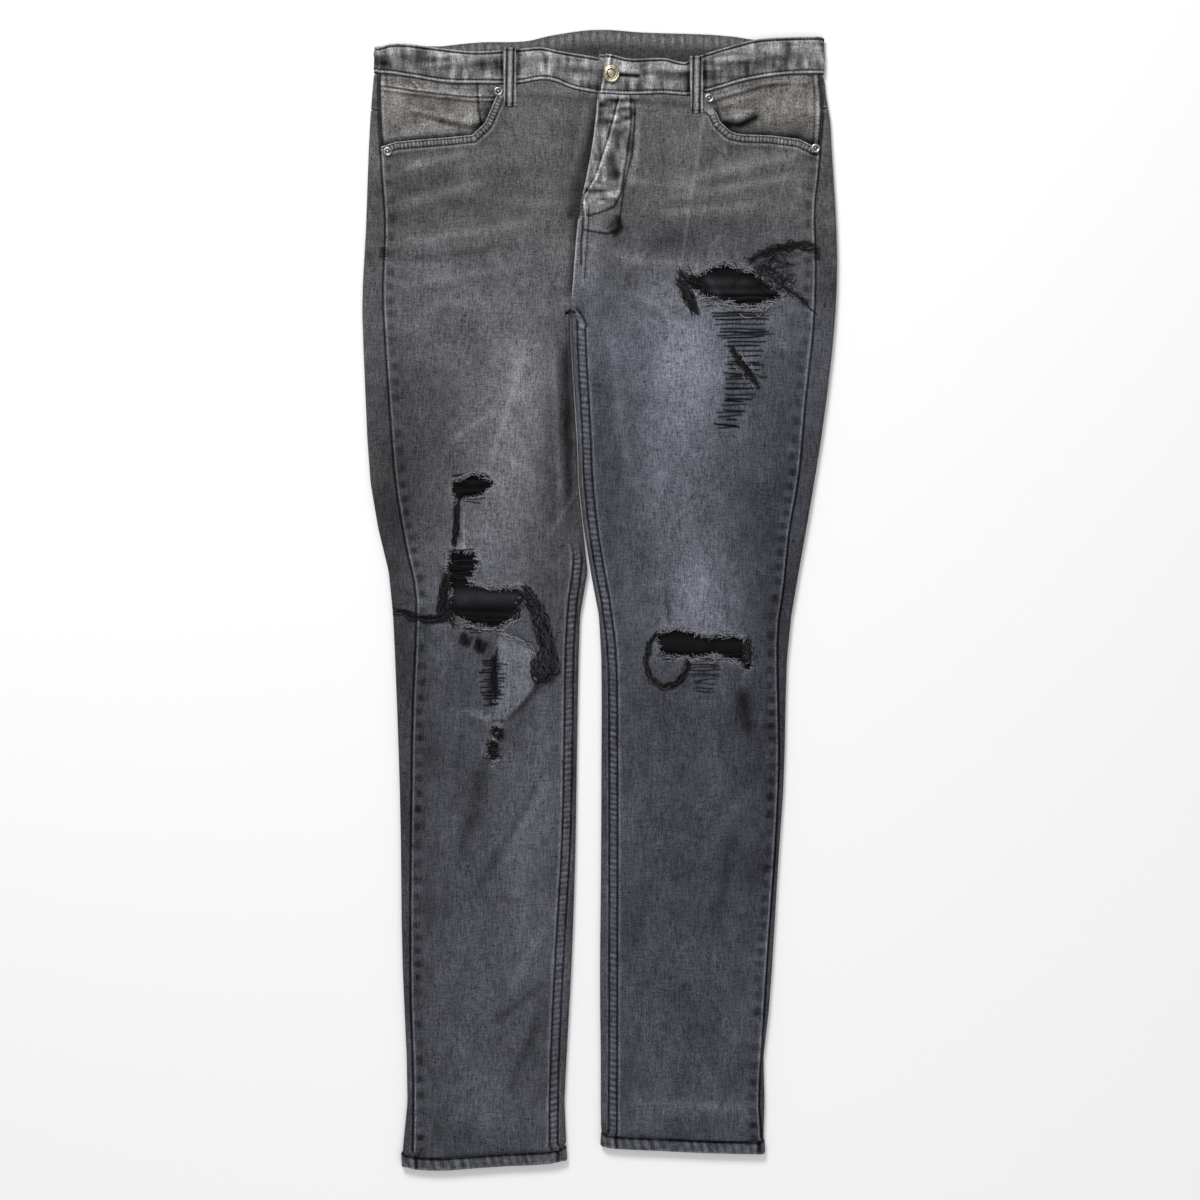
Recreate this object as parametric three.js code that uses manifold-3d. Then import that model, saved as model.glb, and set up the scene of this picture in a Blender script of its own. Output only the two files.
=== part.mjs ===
// Ripped jeans laid flat with the front up: waist toward +Y, front face toward +Z, millimetres.
// The cloth is one flattened tube at the hips and one per leg. Each panel is a stretch of that
// wall between its seam lines, and neighbouring panels stand a seam gap apart.

import * as THREE from 'three';
import { mergeVertices } from 'three/addons/utils/BufferGeometryUtils.js';
import Module from 'manifold-3d';

const wasm = await Module();
wasm.setup();

// ---------------------------------------------------------------- driving dimensions

const CLOTH = 1.4; // wall of denim with its seam allowances
const AIR = 3.4; // space between the front and back layers
const HEIGHT = 2 * CLOTH + AIR; // height of the flattened tube
const GAP = 0.3; // between neighbouring pieces
const CROSS_GAP = 0.5; // the same, at the curved seams that run across
const BAND_EXTRA = 0.8; // how far the waistband and hems stand proud of the panels
const INLAY = 1.2; // facings, backings, patches and belt loops
const HEM = 12; // width of the hem
const CROTCH = new THREE.Vector2(-28.5, 272.6);
const TOP_END = 560; // the tubes run past the waist and hems before they are cut
const LOW_END = -560;
const MID = HEIGHT / 2;
const UNDER_FRONT = HEIGHT - CLOTH - GAP; // top of whatever lies just behind a front panel
const FOLD_EDGE = MID + 0.6; // least distance from a side fold to a front seam

const BUTTON_RADIUS = 8.5;
const BUTTON_PLACE = new THREE.Vector2(10.8, 498.7);
const BUTTONHOLE = { radius: 2.7, length: 25, slope: -2 };
const RIVET_RADIUS = 3.9;
const RIVET_PLACES = [[-96.3, 482], [-201.2, 425], [103.6, 475.6], [204.2, 428]];

const TAB = { left: -16, right: 40, low: 484, top: 510 }; // underlap that carries the button
const FRONT_LOOPS = {
  left: { x: -91.8, low: 468, top: 523.5, lean: 1 },
  right: { x: 84.8, low: 461.5, top: 515.5, lean: 1.5 },
};
const FACING_LOW = 400;
const FACING_IN = 60; // where the facings end, towards the fly
const COIN_TOP = [[-206, 489], [-177, 482], [-146, 477], [-113, 478]];
const COIN = { left: -205, right: -115, low: 430 };
const COIN_CLOTH = 1;
const ZIP = { low: 352, top: 472, inset: 5, width: 15 };
const BACKINGS = { // cloth behind the rips, as [left, low, right, top]
  backing_thigh: [62, 262, 188, 336],
  backing_knee_left: [-160, -42, -58, 128],
  backing_knee_right: [38, -84, 158, -12],
};
const THREAD_RADIUS = 1.1;
const THREAD_ROUTES = {
  thread_loop_knee_left: [[-71, 9], [-59, -10], [-53, -37], [-47, -57], [-48, -69], [-54, -72], [-56, -64]],
  thread_loop_knee_right: [[46, -38], [43, -62], [48, -76], [61, -83], [72, -81], [79, -74], [83, -63]],
  thread_loop_thigh: [[74, 313], [80, 300], [85, 287], [90, 272]],
  thread_strand_knee: [[-145, -12], [-158, -19], [-172, -16], [-190, -9]],
};

// ---------------------------------------------------------------- outlines, as [y, x] from waist to hem

const SIDE_LEFT = smooth([
  [560, -208], [522, -213], [500, -214.5], [470, -217.5], [423, -220], [352, -222.5], [280, -226],
  [209, -223.5], [150, -221], [90, -215.5], [43, -204.5], [15, -199], [-52, -195], [-195, -190],
  [-337, -188], [-456, -183], [-480, -183.3], [-527, -188], [-560, -189],
]);
const SIDE_RIGHT = smooth([
  [560, 211.5], [515, 211.5], [497, 214], [488, 213], [467, 217.6], [423, 220.4], [352, 224.7],
  [300, 225.2], [242, 221.3], [185, 214.7], [138, 208], [43, 192], [-5, 183.4], [-52, 178],
  [-171, 174.8], [-242, 170], [-380, 161.5], [-451, 154.2], [-478, 156.6], [-503, 155], [-560, 157],
]);
const INNER_LEFT = smooth([
  [300, -28.5], [272.6, -28.5], [237, -27.5], [152, -21.9], [114, -20.9], [61, -15.2], [31, -10.7],
  [17, -14.8], [-19, -18.7], [-133, -21.3], [-230, -22.8], [-323, -25.6], [-401, -29.5], [-454, -32.3],
  [-494, -33.7], [-519, -31.5], [-560, -33],
]);
const INNER_RIGHT = smooth([
  [300, -28.2], [272.6, -28.2], [237, -27.2], [152, -21.6], [114, -20.6], [61, -14.9], [31, -10.3],
  [15, -6.2], [-19, -1], [-63, 1], [-133, 1], [-255, 0.5], [-361, -0.4], [-456, 0.5], [-504, 0.2],
  [-560, 3],
]);
const OUTSEAM_LEFT = smooth([
  [560, -209], [467, -209], [408, -206], [354, -202.5], [291, -204.7], [245, -202.5], [185, -198.5],
  [114, -192.9], [49, -182.4], [12, -174], [-17, -172.9], [-120, -176.7], [-361, -178.6], [-460, -175.8],
  [-560, -177],
]);
const OUTSEAM_RIGHT = smooth([
  [560, 208], [500, 208], [469, 210.6], [406, 206.2], [370, 202.4], [321, 203.3], [268, 202],
  [188, 193.8], [116, 187.2], [66, 178.6], [10, 172.9], [-30, 167.4], [-171, 168.2], [-361, 156.3],
  [-441, 151.6], [-474, 149.6], [-513, 152], [-560, 152],
]);
const INSEAM_LEFT = smooth([
  [272, -33], [237, -32], [114, -25], [31, -15.5], [-30, -23], [-133, -25], [-230, -27.2], [-323, -32.6],
  [-454, -38.4], [-560, -39],
]);
const INSEAM_RIGHT = smooth([
  [272, -23], [237, -22], [152, -17.5], [114, -16], [61, -10.5], [7, -1.6], [-47, 6], [-133, 7.6],
  [-361, 7.6], [-560, 7],
]);
const FLY_EDGE = smooth([
  [530, 5.5], [514, 4.5], [500, 0], [479, -2.5], [453, -4.5], [424, -8.5], [396, -14], [376, -18.4],
  [351, -22], [300, -26], [272, -28.4],
]);
const CENTRE_BACK = smooth([[560, -2], [470, -4], [400, -9], [340, -17], [272.6, -28.4]]);

// edges that run across, as [x, y] from left to right
const BAND_TOP_LEFT = smooth([
  [-240, 518], [-212, 523.5], [-199, 527], [-184, 527.2], [-146, 522.5], [-116, 520], [-71, 523],
  [-56, 524.2], [-41, 521], [-11, 516], [8, 513],
]);
const BAND_TOP_RIGHT = smooth([
  [-5, 518], [5, 517.8], [28, 513.2], [62, 513.8], [80, 509.5], [97, 517], [134, 528], [152, 532],
  [189, 533.9], [240, 534],
]);
const BAND_LOW_LEFT = smooth([
  [-240, 498.3], [-206, 498.8], [-177, 495], [-146, 490], [-116, 489.3], [-77, 489.3], [-56, 493],
  [-43, 491.5], [-26, 484.5], [4, 479],
]);
const BAND_LOW_RIGHT = smooth([
  [-12, 481], [25, 478.8], [62, 479.6], [86, 478.3], [116, 485.5], [134, 491], [161, 496], [189, 498.3],
  [240, 498.3],
]);
const BACK_TOP = smooth([
  [-240, 516], [-206, 522.5], [-160, 524.6], [-116, 529.2], [-71, 530.2], [-46, 535.8], [-3, 541.3],
  [40, 538.7], [98, 536.8], [125, 534.9], [150, 531.5], [240, 530.5],
]);
const HEM_LOW_LEFT = smooth([
  [-200, -530], [-188, -536], [-178, -539.5], [-152, -541], [-129, -539.6], [-89, -536.8], [-49, -534.8],
  [-38, -532.5], [-28, -529.5],
]);
const HEM_LOW_RIGHT = smooth([
  [-6, -512], [2, -517], [8, -519.7], [61, -522.5], [101, -524.4], [165, -525.8],
]);
const BACK_LOW = smooth([
  [-240, 498.3], [-206, 498.8], [-100, 500.5], [0, 505.5], [100, 501.5], [200, 498.4], [240, 498.3],
]);
const YOKE_LOW = smooth([[-240, 468], [-110, 452], [-4, 438], [110, 452], [240, 470]]);

// pocket mouths run from a rivet at the waistband to a rivet at the side
const MOUTH_LEFT = [[-92, 500], [-98, 478], [-103, 466], [-109, 452], [-121, 440.5], [-146, 438],
  [-177, 435.5], [-194, 434], [-215, 427]];
const MOUTH_RIGHT = [[101, 500], [104, 476], [110, 462], [114, 453], [124, 443.5], [134, 441],
  [161, 440], [189, 436.5], [205, 428.5], [218, 424]];

// rips, as closed outlines on the front panels
const RIPS = {
  left: [
    [[-141, 112], [-129, 117], [-119, 120.5], [-109, 120.5], [-98, 110], [-107, 103.5], [-116, 97],
      [-126, 96], [-134, 92], [-141, 102.5]],
    [[-143.5, 49.5], [-116, 45.5], [-114, 36], [-120, 22.5], [-124, 17], [-109, 13.5], [-93, 12],
      [-76, 14.3], [-70.5, 12], [-77, -10.5], [-80, -19], [-98, -28.5], [-113, -26.5], [-129, -22],
      [-143.5, -15], [-142.5, 9.5], [-145.5, 22.5]],
    [[-104.5, -118], [-93, -120], [-97, -129]],
    [[-106, -131], [-95, -134], [-96, -150], [-101, -158.5], [-108, -146]],
  ],
  right: [
    [[77, 304], [94, 310.5], [107.5, 318], [118, 321], [131, 315.5], [149, 310.5],
      [158, 304], [171, 294.5], [173, 284], [155, 279.5], [144, 275.5], [137, 275.5], [113, 282],
      [98, 286], [86, 294]],
    [[51, -33.5], [58, -27], [78, -25.5], [89.5, -30.5], [102.5, -33.5], [121.5, -28.5], [141.5, -38],
      [139.5, -53.5], [144.5, -63.5], [137, -70.5], [133, -61], [121.5, -59], [109.5, -53.5],
      [97, -55], [84.5, -56], [57, -53.5]],
    [[128, 235], [133, 232], [151, 203], [147, 202]],
  ],
};

// largest folds on the front: from, to, half width and height of each soft ridge
const FOLDS = [
  { from: [-36, 235], to: [-27, 125], half: 14, rise: 1.2 },
  { from: [-180, 225], to: [-120, 130], half: 26, rise: 1.0 },
  { from: [70, 215], to: [145, 95], half: 30, rise: 1.1 },
  { from: [-165, -20], to: [-70, -95], half: 22, rise: 1.1 },
  { from: [40, -80], to: [140, -130], half: 24, rise: 1.0 },
  { from: [-200, 405], to: [-60, 345], half: 24, rise: 0.8 },
  { from: [60, 350], to: [200, 405], half: 24, rise: 0.8 },
];

// ---------------------------------------------------------------- materials

const denim = () => new THREE.MeshStandardMaterial({ color: 0x4d4d50, roughness: 0.95, metalness: 0 });
const shadeCloth = () => new THREE.MeshStandardMaterial({ color: 0x34353a, roughness: 0.98, metalness: 0 });
const facingCloth = () => new THREE.MeshStandardMaterial({ color: 0x5d5854, roughness: 0.95, metalness: 0 });
const thread = () => new THREE.MeshStandardMaterial({ color: 0x1d1d20, roughness: 0.9, metalness: 0 });
const brass = () => new THREE.MeshStandardMaterial({ color: 0xb9ac86, roughness: 0.35, metalness: 1 });
const silver = () => new THREE.MeshStandardMaterial({ color: 0xb8b8b6, roughness: 0.3, metalness: 1 });

// ---------------------------------------------------------------- curves and solids

// A smooth curve through [at, value] pairs, with its ends held level outside them.
function smooth(pairs) {
  const points = [...pairs].sort((a, b) => a[0] - b[0]);
  const slope = points.map((_, i) => {
    const before = points[Math.max(i - 1, 0)];
    const after = points[Math.min(i + 1, points.length - 1)];
    return (after[1] - before[1]) / (after[0] - before[0]);
  });
  return (at) => {
    const t = THREE.MathUtils.clamp(at, points[0][0], points.at(-1)[0]);
    const next = Math.max(1, points.findIndex((p) => p[0] >= t));
    const [a, b] = [points[next - 1], points[next]];
    const span = b[0] - a[0];
    const s = (t - a[0]) / span;
    const s2 = s * s;
    const s3 = s2 * s;
    return a[1] * (2 * s3 - 3 * s2 + 1) + slope[next - 1] * span * (s3 - 2 * s2 + s)
      + b[1] * (3 * s2 - 2 * s3) + slope[next] * span * (s3 - s2);
  };
}

// Evenly spaced numbers from a to b, no further apart than step.
function steps(a, b, step) {
  const count = Math.max(1, Math.ceil(Math.abs(b - a) / step));
  return Array.from({ length: count + 1 }, (_, i) => a + ((b - a) * i) / count);
}

function toSolid(geometry) {
  const bare = geometry.clone();
  bare.deleteAttribute('normal');
  bare.deleteAttribute('uv');
  const merged = mergeVertices(bare, 1e-4);
  const index = [...merged.index.array];
  const faces = index.flatMap((_, i) => {
    if (i % 3) return [];
    const face = index.slice(i, i + 3);
    return new Set(face).size === 3 ? face : [];
  });
  const body = new wasm.Mesh({
    numProp: 3,
    vertProperties: new Float32Array(merged.attributes.position.array),
    triVerts: new Uint32Array(faces),
  });
  return new wasm.Manifold(body);
}

function toGeometry(body) {
  const { vertProperties, triVerts } = body.getMesh();
  const geometry = new THREE.BufferGeometry();
  geometry.setAttribute('position', new THREE.BufferAttribute(new Float32Array(vertProperties), 3));
  geometry.setIndex(new THREE.BufferAttribute(new Uint32Array(triVerts), 1));
  const clean = mergeVertices(geometry, 1e-3);
  clean.computeVertexNormals();
  return clean;
}

// The outline without the points that lie on the straight line between their neighbours.
function corners(outline) {
  const kept = [];
  outline.forEach((point, i) => {
    const before = kept.at(-1) ?? outline.at(-1);
    const after = outline[(i + 1) % outline.length];
    const twiceArea = (point[0] - before[0]) * (after[1] - before[1])
      - (point[1] - before[1]) * (after[0] - before[0]);
    if (Math.abs(twiceArea) > 0.02) kept.push(point);
  });
  return kept;
}

// An upright prism on a closed outline of [x, y] points.
function prism(outline, low, high) {
  const shape = new THREE.Shape(corners(outline).map(([x, y]) => new THREE.Vector2(x, y)));
  const geometry = new THREE.ExtrudeGeometry(shape, { depth: high - low, bevelEnabled: false });
  geometry.translate(0, 0, low);
  return toSolid(geometry);
}

// The outline moved outward by a distance, corner by corner.
function grown(outline, distance) {
  const points = outline.map(([x, y]) => new THREE.Vector2(x, y));
  const turn = Math.sign(THREE.ShapeUtils.area(points));
  return points.map((point, i) => {
    const before = points[(i + points.length - 1) % points.length];
    const after = points[(i + 1) % points.length];
    const a = point.clone().sub(before).normalize();
    const b = after.clone().sub(point).normalize();
    const out = new THREE.Vector2(a.y + b.y, -a.x - b.x).normalize();
    const reach = Math.min(distance / Math.max(out.dot(new THREE.Vector2(a.y, -a.x)), 0.4), 3 * distance);
    return [point.x + out.x * reach * turn, point.y + out.y * reach * turn];
  });
}

const bump = (t) => (Math.abs(t) < 1 ? 0.5 + 0.5 * Math.cos(Math.PI * t) : 0);

// How far the front layer rises over its flat height at a place.
function foldRise(x, y) {
  return FOLDS.reduce((sum, { from, to, half, rise }) => {
    const start = new THREE.Vector2(...from);
    const line = new THREE.Vector2(...to).sub(start);
    const reach = new THREE.Vector2(x, y).sub(start);
    const along = reach.dot(line) / line.lengthSq();
    const across = reach.cross(line) / line.length();
    return sum + rise * bump(across / half) * bump((along - 0.5) / 0.75);
  }, 0);
}

// Section of a flattened tube at height y: straight underside, round side folds, front with its
// ridges. The cloth's inner face stays flat under a ridge.
function section(y, left, right, inset, proud, across) {
  const low = inset;
  const high = HEIGHT - inset + proud;
  const radius = (high - low) / 2;
  const centre = (high + low) / 2;
  const arc = 3;
  const points = [];
  for (let i = 0; i <= arc; i += 1) {
    const angle = -Math.PI / 2 + (Math.PI * i) / arc;
    points.push([right - inset - radius + radius * Math.cos(angle), centre + radius * Math.sin(angle)]);
  }
  const inner = [left + inset + radius, right - inset - radius];
  for (let i = 1; i < across; i += 1) {
    const x = inner[1] + ((inner[0] - inner[1]) * i) / across;
    points.push([x, high + (inset ? 0 : foldRise(x, y))]);
  }
  for (let i = 0; i <= arc; i += 1) {
    const angle = Math.PI / 2 + (Math.PI * i) / arc;
    points.push([left + inset + radius + radius * Math.cos(angle), centre + radius * Math.sin(angle)]);
  }
  return points.map(([x, z]) => new THREE.Vector3(x, y, z));
}

// Closed loft through sections that run from high y to low y.
function loft(rings) {
  const count = rings[0].length;
  const vertices = rings.flat();
  const middle = (ring) => ring.reduce((sum, p) => sum.add(p), new THREE.Vector3()).divideScalar(count);
  vertices.push(middle(rings[0]), middle(rings.at(-1)));
  const faces = [];
  const last = (rings.length - 1) * count;
  for (let i = 0; i < count; i += 1) {
    const j = (i + 1) % count;
    for (let a = 0; a < last; a += count) {
      const b = a + count;
      faces.push(a + i, a + j, b + i, a + j, b + j, b + i);
    }
    faces.push(rings.length * count, j, i, rings.length * count + 1, last + i, last + j);
  }
  const geometry = new THREE.BufferGeometry().setFromPoints(vertices);
  geometry.setIndex(faces);
  return toSolid(geometry);
}

// A flattened tube between two side lines, through the given heights.
function tube(left, right, heights, across, inset, proud) {
  return loft(heights.map((y) => section(y, left(y), right(y), inset, proud, across)));
}

// Hips and both legs as one solid, inset from the outer face of the cloth. The legs start inside the
// hips, on the same sections, and the hips end at the crotch.
function trunk(inset, ends, proud) {
  const shared = [CROTCH.y + 26, CROTCH.y + CLOTH, CROTCH.y];
  const hips = [...steps(TOP_END + ends, shared[0], 28), ...(inset ? [shared[1]] : shared.slice(1))];
  const legs = [...shared, ...steps(CROTCH.y - 36, LOW_END - ends, 42)];
  return tube(SIDE_LEFT, SIDE_RIGHT, hips, 14, inset, proud)
    .add(tube(SIDE_LEFT, INNER_LEFT, legs, 8, inset, proud))
    .add(tube(INNER_RIGHT, SIDE_RIGHT, legs, 8, inset, proud));
}

// A turned piece with an upright axis, from a profile of [radius, height] points.
function turned(profile, x, y, sides) {
  const geometry = new THREE.LatheGeometry(profile.map(([r, z]) => new THREE.Vector2(r, z)), sides);
  geometry.rotateX(Math.PI / 2);
  geometry.translate(x, y, 0);
  return toSolid(geometry);
}

// ---------------------------------------------------------------- regions seen from above

const FAR = 240; // beyond either side
const ABOVE = 30; // above every piece
const BELOW = -30;

// Numbers from a to b, with every whole multiple of step between them, so that neighbouring
// outlines turn their corners at the same places.
function marks(a, b, step) {
  const [low, high] = [Math.min(a, b), Math.max(a, b)];
  const first = Math.ceil((low + step / 4) / step);
  const last = Math.floor((high - step / 4) / step);
  const inner = Array.from({ length: Math.max(0, last - first + 1) }, (_, i) => (first + i) * step);
  const all = [low, ...inner, high];
  return a < b ? all : all.reverse();
}

const downTo = (curve, from, to, step = 20) => marks(from, to, step).map((y) => [curve(y), y]);
const along = (curve, from, to, step = 8) => marks(from, to, step).map((x) => [x, curve(x)]);
const raised = (curve, by) => (at) => curve(at) + by;

// A front seam, kept clear of the side fold beside it. `turn` is +1 where the cloth lies to its right.
const heldIn = (seam, side, turn) => (y) => (turn > 0
  ? Math.max(seam(y), side(y) + FOLD_EDGE)
  : Math.min(seam(y), side(y) - FOLD_EDGE));

const LEG = {
  left: {
    sign: -1,
    out: heldIn(OUTSEAM_LEFT, SIDE_LEFT, 1),
    inside: heldIn(INSEAM_LEFT, INNER_LEFT, -1),
    hem: HEM_LOW_LEFT,
    bandLow: BAND_LOW_LEFT,
    mouth: MOUTH_LEFT,
  },
  right: {
    sign: 1,
    out: heldIn(OUTSEAM_RIGHT, SIDE_RIGHT, -1),
    inside: heldIn(INSEAM_RIGHT, INNER_RIGHT, 1),
    hem: HEM_LOW_RIGHT,
    bandLow: BAND_LOW_RIGHT,
    mouth: MOUTH_RIGHT,
  },
};
const SIDES = ['left', 'right'];

// The fly line, as the edge of the left or right piece that meets there.
const flyOf = (side) => (y) => FLY_EDGE(y) - (side === 'left' ? GAP : 0);

// Front panel from the waistband to the hem, with its side edges moved out by `extra`.
function frontOutline(side, extra, top, low) {
  const { sign, out, inside } = LEG[side];
  const outer = (y) => out(y) + sign * extra;
  const inner = (y) => inside(y) - sign * extra;
  const centre = (y) => flyOf(side)(y) - sign * extra;
  const [outLow, inLow] = [low(outer(-515)), low(inner(-515))];
  const [outTop, inTop] = [top(outer(498)), top(centre(480))];
  return [
    ...downTo(outer, outTop, outLow),
    ...along(low, outer(outLow), inner(inLow)).slice(1, -1),
    ...downTo(inner, inLow, CROTCH.y),
    ...downTo(centre, CROTCH.y + 3, inTop),
    ...along(top, centre(inTop), outer(outTop)).slice(1, -1),
  ];
}

// Everything on the pocket side of a mouth, with the mouth's line moved by [x, y].
function mouthOutline(side, shift) {
  const { sign, mouth } = LEG[side];
  const edge = mouth.map(([x, y]) => [x - sign * shift[0], y - shift[1]]);
  return [...edge, [sign * FAR, edge.at(-1)[1]], [sign * FAR, 520], [edge[0][0], 520]];
}

// One half of the back, from the top line to the low line, split at the centre back and between the legs.
function backOutline(side, top, low, lowest) {
  const { sign } = LEG[side];
  const middle = (y) => (y > CROTCH.y ? CENTRE_BACK(y) : (INNER_LEFT(y) + INNER_RIGHT(y)) / 2);
  const split = (y) => middle(y) + (sign * GAP) / 2;
  const [start, end] = [top(split(490)), low(split(lowest))];
  return [
    ...downTo(split, start, end),
    ...along(low, split(end), sign * FAR).slice(1),
    ...along(top, sign * FAR, split(start)).slice(0, -1),
  ];
}

// A region that follows one outline on the front of the tube and another on the back. The two
// share a thin layer, so that what they cut stays one piece.
function frontAndBack(fronts, back) {
  const share = 0.05;
  return fronts.reduce((region, front) => region.add(prism(front, MID - share, ABOVE)),
    prism(back, BELOW, MID + share));
}

function band(low, top, from, to) {
  return [...along(low, from, to), ...along(top, to, from)];
}

// ---------------------------------------------------------------- pieces that lie under the back

const LOOP = 12; // width of a belt loop
const PATCH_STEP = INLAY + GAP; // the cloth steps this far over whatever is sewn beneath it

function loopOutline(x, low, top, lean = 0) {
  return [[x + lean, low], [x + lean + LOOP, low], [x + LOOP, top], [x, top]];
}

function backPocketOutline(side) {
  const { sign } = LEG[side];
  const [centre, top, half, depth] = [sign * 108 - 6, 424, 70, 148];
  return [
    [centre - half, top], [centre - half + 5, top - depth + 22], [centre, top - depth],
    [centre + half - 5, top - depth + 22], [centre + half, top],
  ];
}

const UNDER = {
  back_pocket_left: backPocketOutline('left'),
  back_pocket_right: backPocketOutline('right'),
  belt_loop_back_left: loopOutline(-126, 486, 527),
  belt_loop_back_centre: loopOutline(-9, 493, 537),
  belt_loop_back_right: loopOutline(112, 488, 533),
};

// Cloth wall of the whole garment. The front stands proud by a distance, and the back steps over
// what is sewn under it.
function cloth(proud) {
  let wall = trunk(0, 0, proud).subtract(trunk(CLOTH, 5, 0));
  for (const outline of Object.values(UNDER)) {
    wall = wall.add(prism(grown(outline, GAP + CLOTH), 0, PATCH_STEP + CLOTH));
    wall = wall.subtract(prism(grown(outline, GAP), BELOW, PATCH_STEP));
  }
  return wall;
}

// ---------------------------------------------------------------- building

const group = new THREE.Group();

// The largest body of a cut, without the crumbs that a cut can leave along a seam.
function largest(body) {
  return body.decompose().sort((a, b) => b.volume() - a.volume())[0];
}

function place(name, body, material) {
  const mesh = new THREE.Mesh(toGeometry(largest(body)), material);
  mesh.name = name;
  group.add(mesh);
}

const panelCloth = cloth(0);
const foldedCloth = cloth(BAND_EXTRA);

function buildFronts() {
  for (const side of SIDES) {
    const { bandLow, hem } = LEG[side];
    const outline = frontOutline(side, 0, raised(bandLow, -CROSS_GAP), raised(hem, HEM + CROSS_GAP));
    const mouth = prism(mouthOutline(side, [0, 0]), 0, ABOVE);
    let panel = panelCloth.intersect(prism(outline, UNDER_FRONT, ABOVE)).subtract(mouth);
    for (const rip of RIPS[side]) panel = panel.subtract(prism(rip, 0, ABOVE));
    place(`front_${side}`, panel, denim());
  }
}

function buildBacks() {
  const open = () => TOP_END;
  let rest = panelCloth;
  for (const side of SIDES) {
    const front = frontOutline(side, GAP, open, raised(LEG[side].hem, HEM - 4));
    rest = rest.subtract(prism(front, UNDER_FRONT, ABOVE));
  }
  for (const side of SIDES) {
    const { bandLow, hem } = LEG[side];
    const underYoke = raised(YOKE_LOW, -CROSS_GAP);
    const outline = backOutline(side, underYoke, raised(hem, HEM + CROSS_GAP), -510);
    place(`back_${side}`, rest.intersect(prism(outline, BELOW, ABOVE)), denim());
    const yoke = frontAndBack([backOutline(side, raised(bandLow, -CROSS_GAP), YOKE_LOW, 440)],
      backOutline(side, raised(BACK_LOW, -CROSS_GAP), YOKE_LOW, 440));
    place(`yoke_${side}`, rest.intersect(yoke), denim());
  }
}

function buildWaistband() {
  const leftEnd = flyOf('left')(498);
  const rightEnd = flyOf('right')(498);
  const fronts = [
    band(BAND_LOW_LEFT, BAND_TOP_LEFT, -FAR, leftEnd),
    band(BAND_LOW_RIGHT, BAND_TOP_RIGHT, rightEnd, FAR),
  ];
  const region = frontAndBack(fronts, band(BACK_LOW, BACK_TOP, -FAR, FAR));
  // the left end steps down and runs on under the right end, to hold the button
  const stepEnd = leftEnd - 4;
  const step = [[TAB.left, TAB.low], [stepEnd, TAB.low], [stepEnd, TAB.top], [TAB.left, TAB.top]];
  const tab = [[TAB.left, TAB.low], [TAB.right, TAB.low], [TAB.right, TAB.top], [TAB.left, TAB.top]];
  const { x, y } = BUTTON_PLACE;
  const { radius, length, slope } = BUTTONHOLE;
  const eye = turned([[0, BELOW], [radius, BELOW], [radius, ABOVE], [0, ABOVE]], x, y, 16);
  const slit = [[x, y + 0.7], [x, y - 0.7], [x + length, y + slope - 0.7], [x + length, y + slope + 0.7]];
  const body = foldedCloth.intersect(region)
    .subtract(eye.intersect(prism(band(raised(BAND_LOW_RIGHT, 1), BAND_TOP_RIGHT, 0, 40), MID, ABOVE)))
    .subtract(prism(slit, MID, ABOVE))
    .add(prism(step, UNDER_FRONT - INLAY, HEIGHT))
    .add(prism(tab, UNDER_FRONT - INLAY, UNDER_FRONT));
  place('waistband', body, denim());
}

function buildPockets() {
  const [low, top] = [UNDER_FRONT - INLAY, UNDER_FRONT];
  for (const side of SIDES) {
    const { sign, out, bandLow } = LEG[side];
    const bag = prism(mouthOutline(side, [10, 12]), low, top);
    const inEdge = sign * FACING_IN;
    const room = [
      ...downTo((y) => out(y) - sign, bandLow(sign * 200) + 4, FACING_LOW),
      [inEdge, FACING_LOW], [inEdge, bandLow(sign * 100) + 4],
    ];
    place(`pocket_facing_${side}`, bag.intersect(prism(room, low, top)), facingCloth());
  }
  const coin = [
    ...along(smooth(COIN_TOP), COIN.left, COIN.right, 15),
    [COIN.right + 3, COIN.low], [COIN.left, COIN.low],
  ];
  const clear = prism(mouthOutline('left', [-2 * GAP, -2 * GAP]), 0, ABOVE);
  const coinCloth = prism(coin, UNDER_FRONT + GAP, UNDER_FRONT + GAP + COIN_CLOTH);
  place('coin_pocket', coinCloth.intersect(clear), facingCloth());
  for (const side of SIDES) {
    const name = `back_pocket_${side}`;
    place(name, prism(UNDER[name], 0, INLAY), denim());
  }
}

function buildLoops() {
  const base = HEIGHT + BAND_EXTRA + GAP;
  for (const [side, { x, low, top, lean }] of Object.entries(FRONT_LOOPS)) {
    place(`belt_loop_front_${side}`, prism(loopOutline(x, low, top, lean), base, base + INLAY), denim());
  }
  for (const where of ['left', 'centre', 'right']) {
    const name = `belt_loop_back_${where}`;
    place(name, prism(UNDER[name], 0, INLAY), denim());
  }
}

function buildHems() {
  for (const side of SIDES) {
    const { sign, hem } = LEG[side];
    const inner = side === 'left' ? -17 : -17 + 2 * GAP;
    const region = band(hem, raised(hem, HEM), inner, sign * FAR);
    place(`hem_${side}`, foldedCloth.intersect(prism(region, BELOW, ABOVE)), denim());
  }
}

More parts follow.
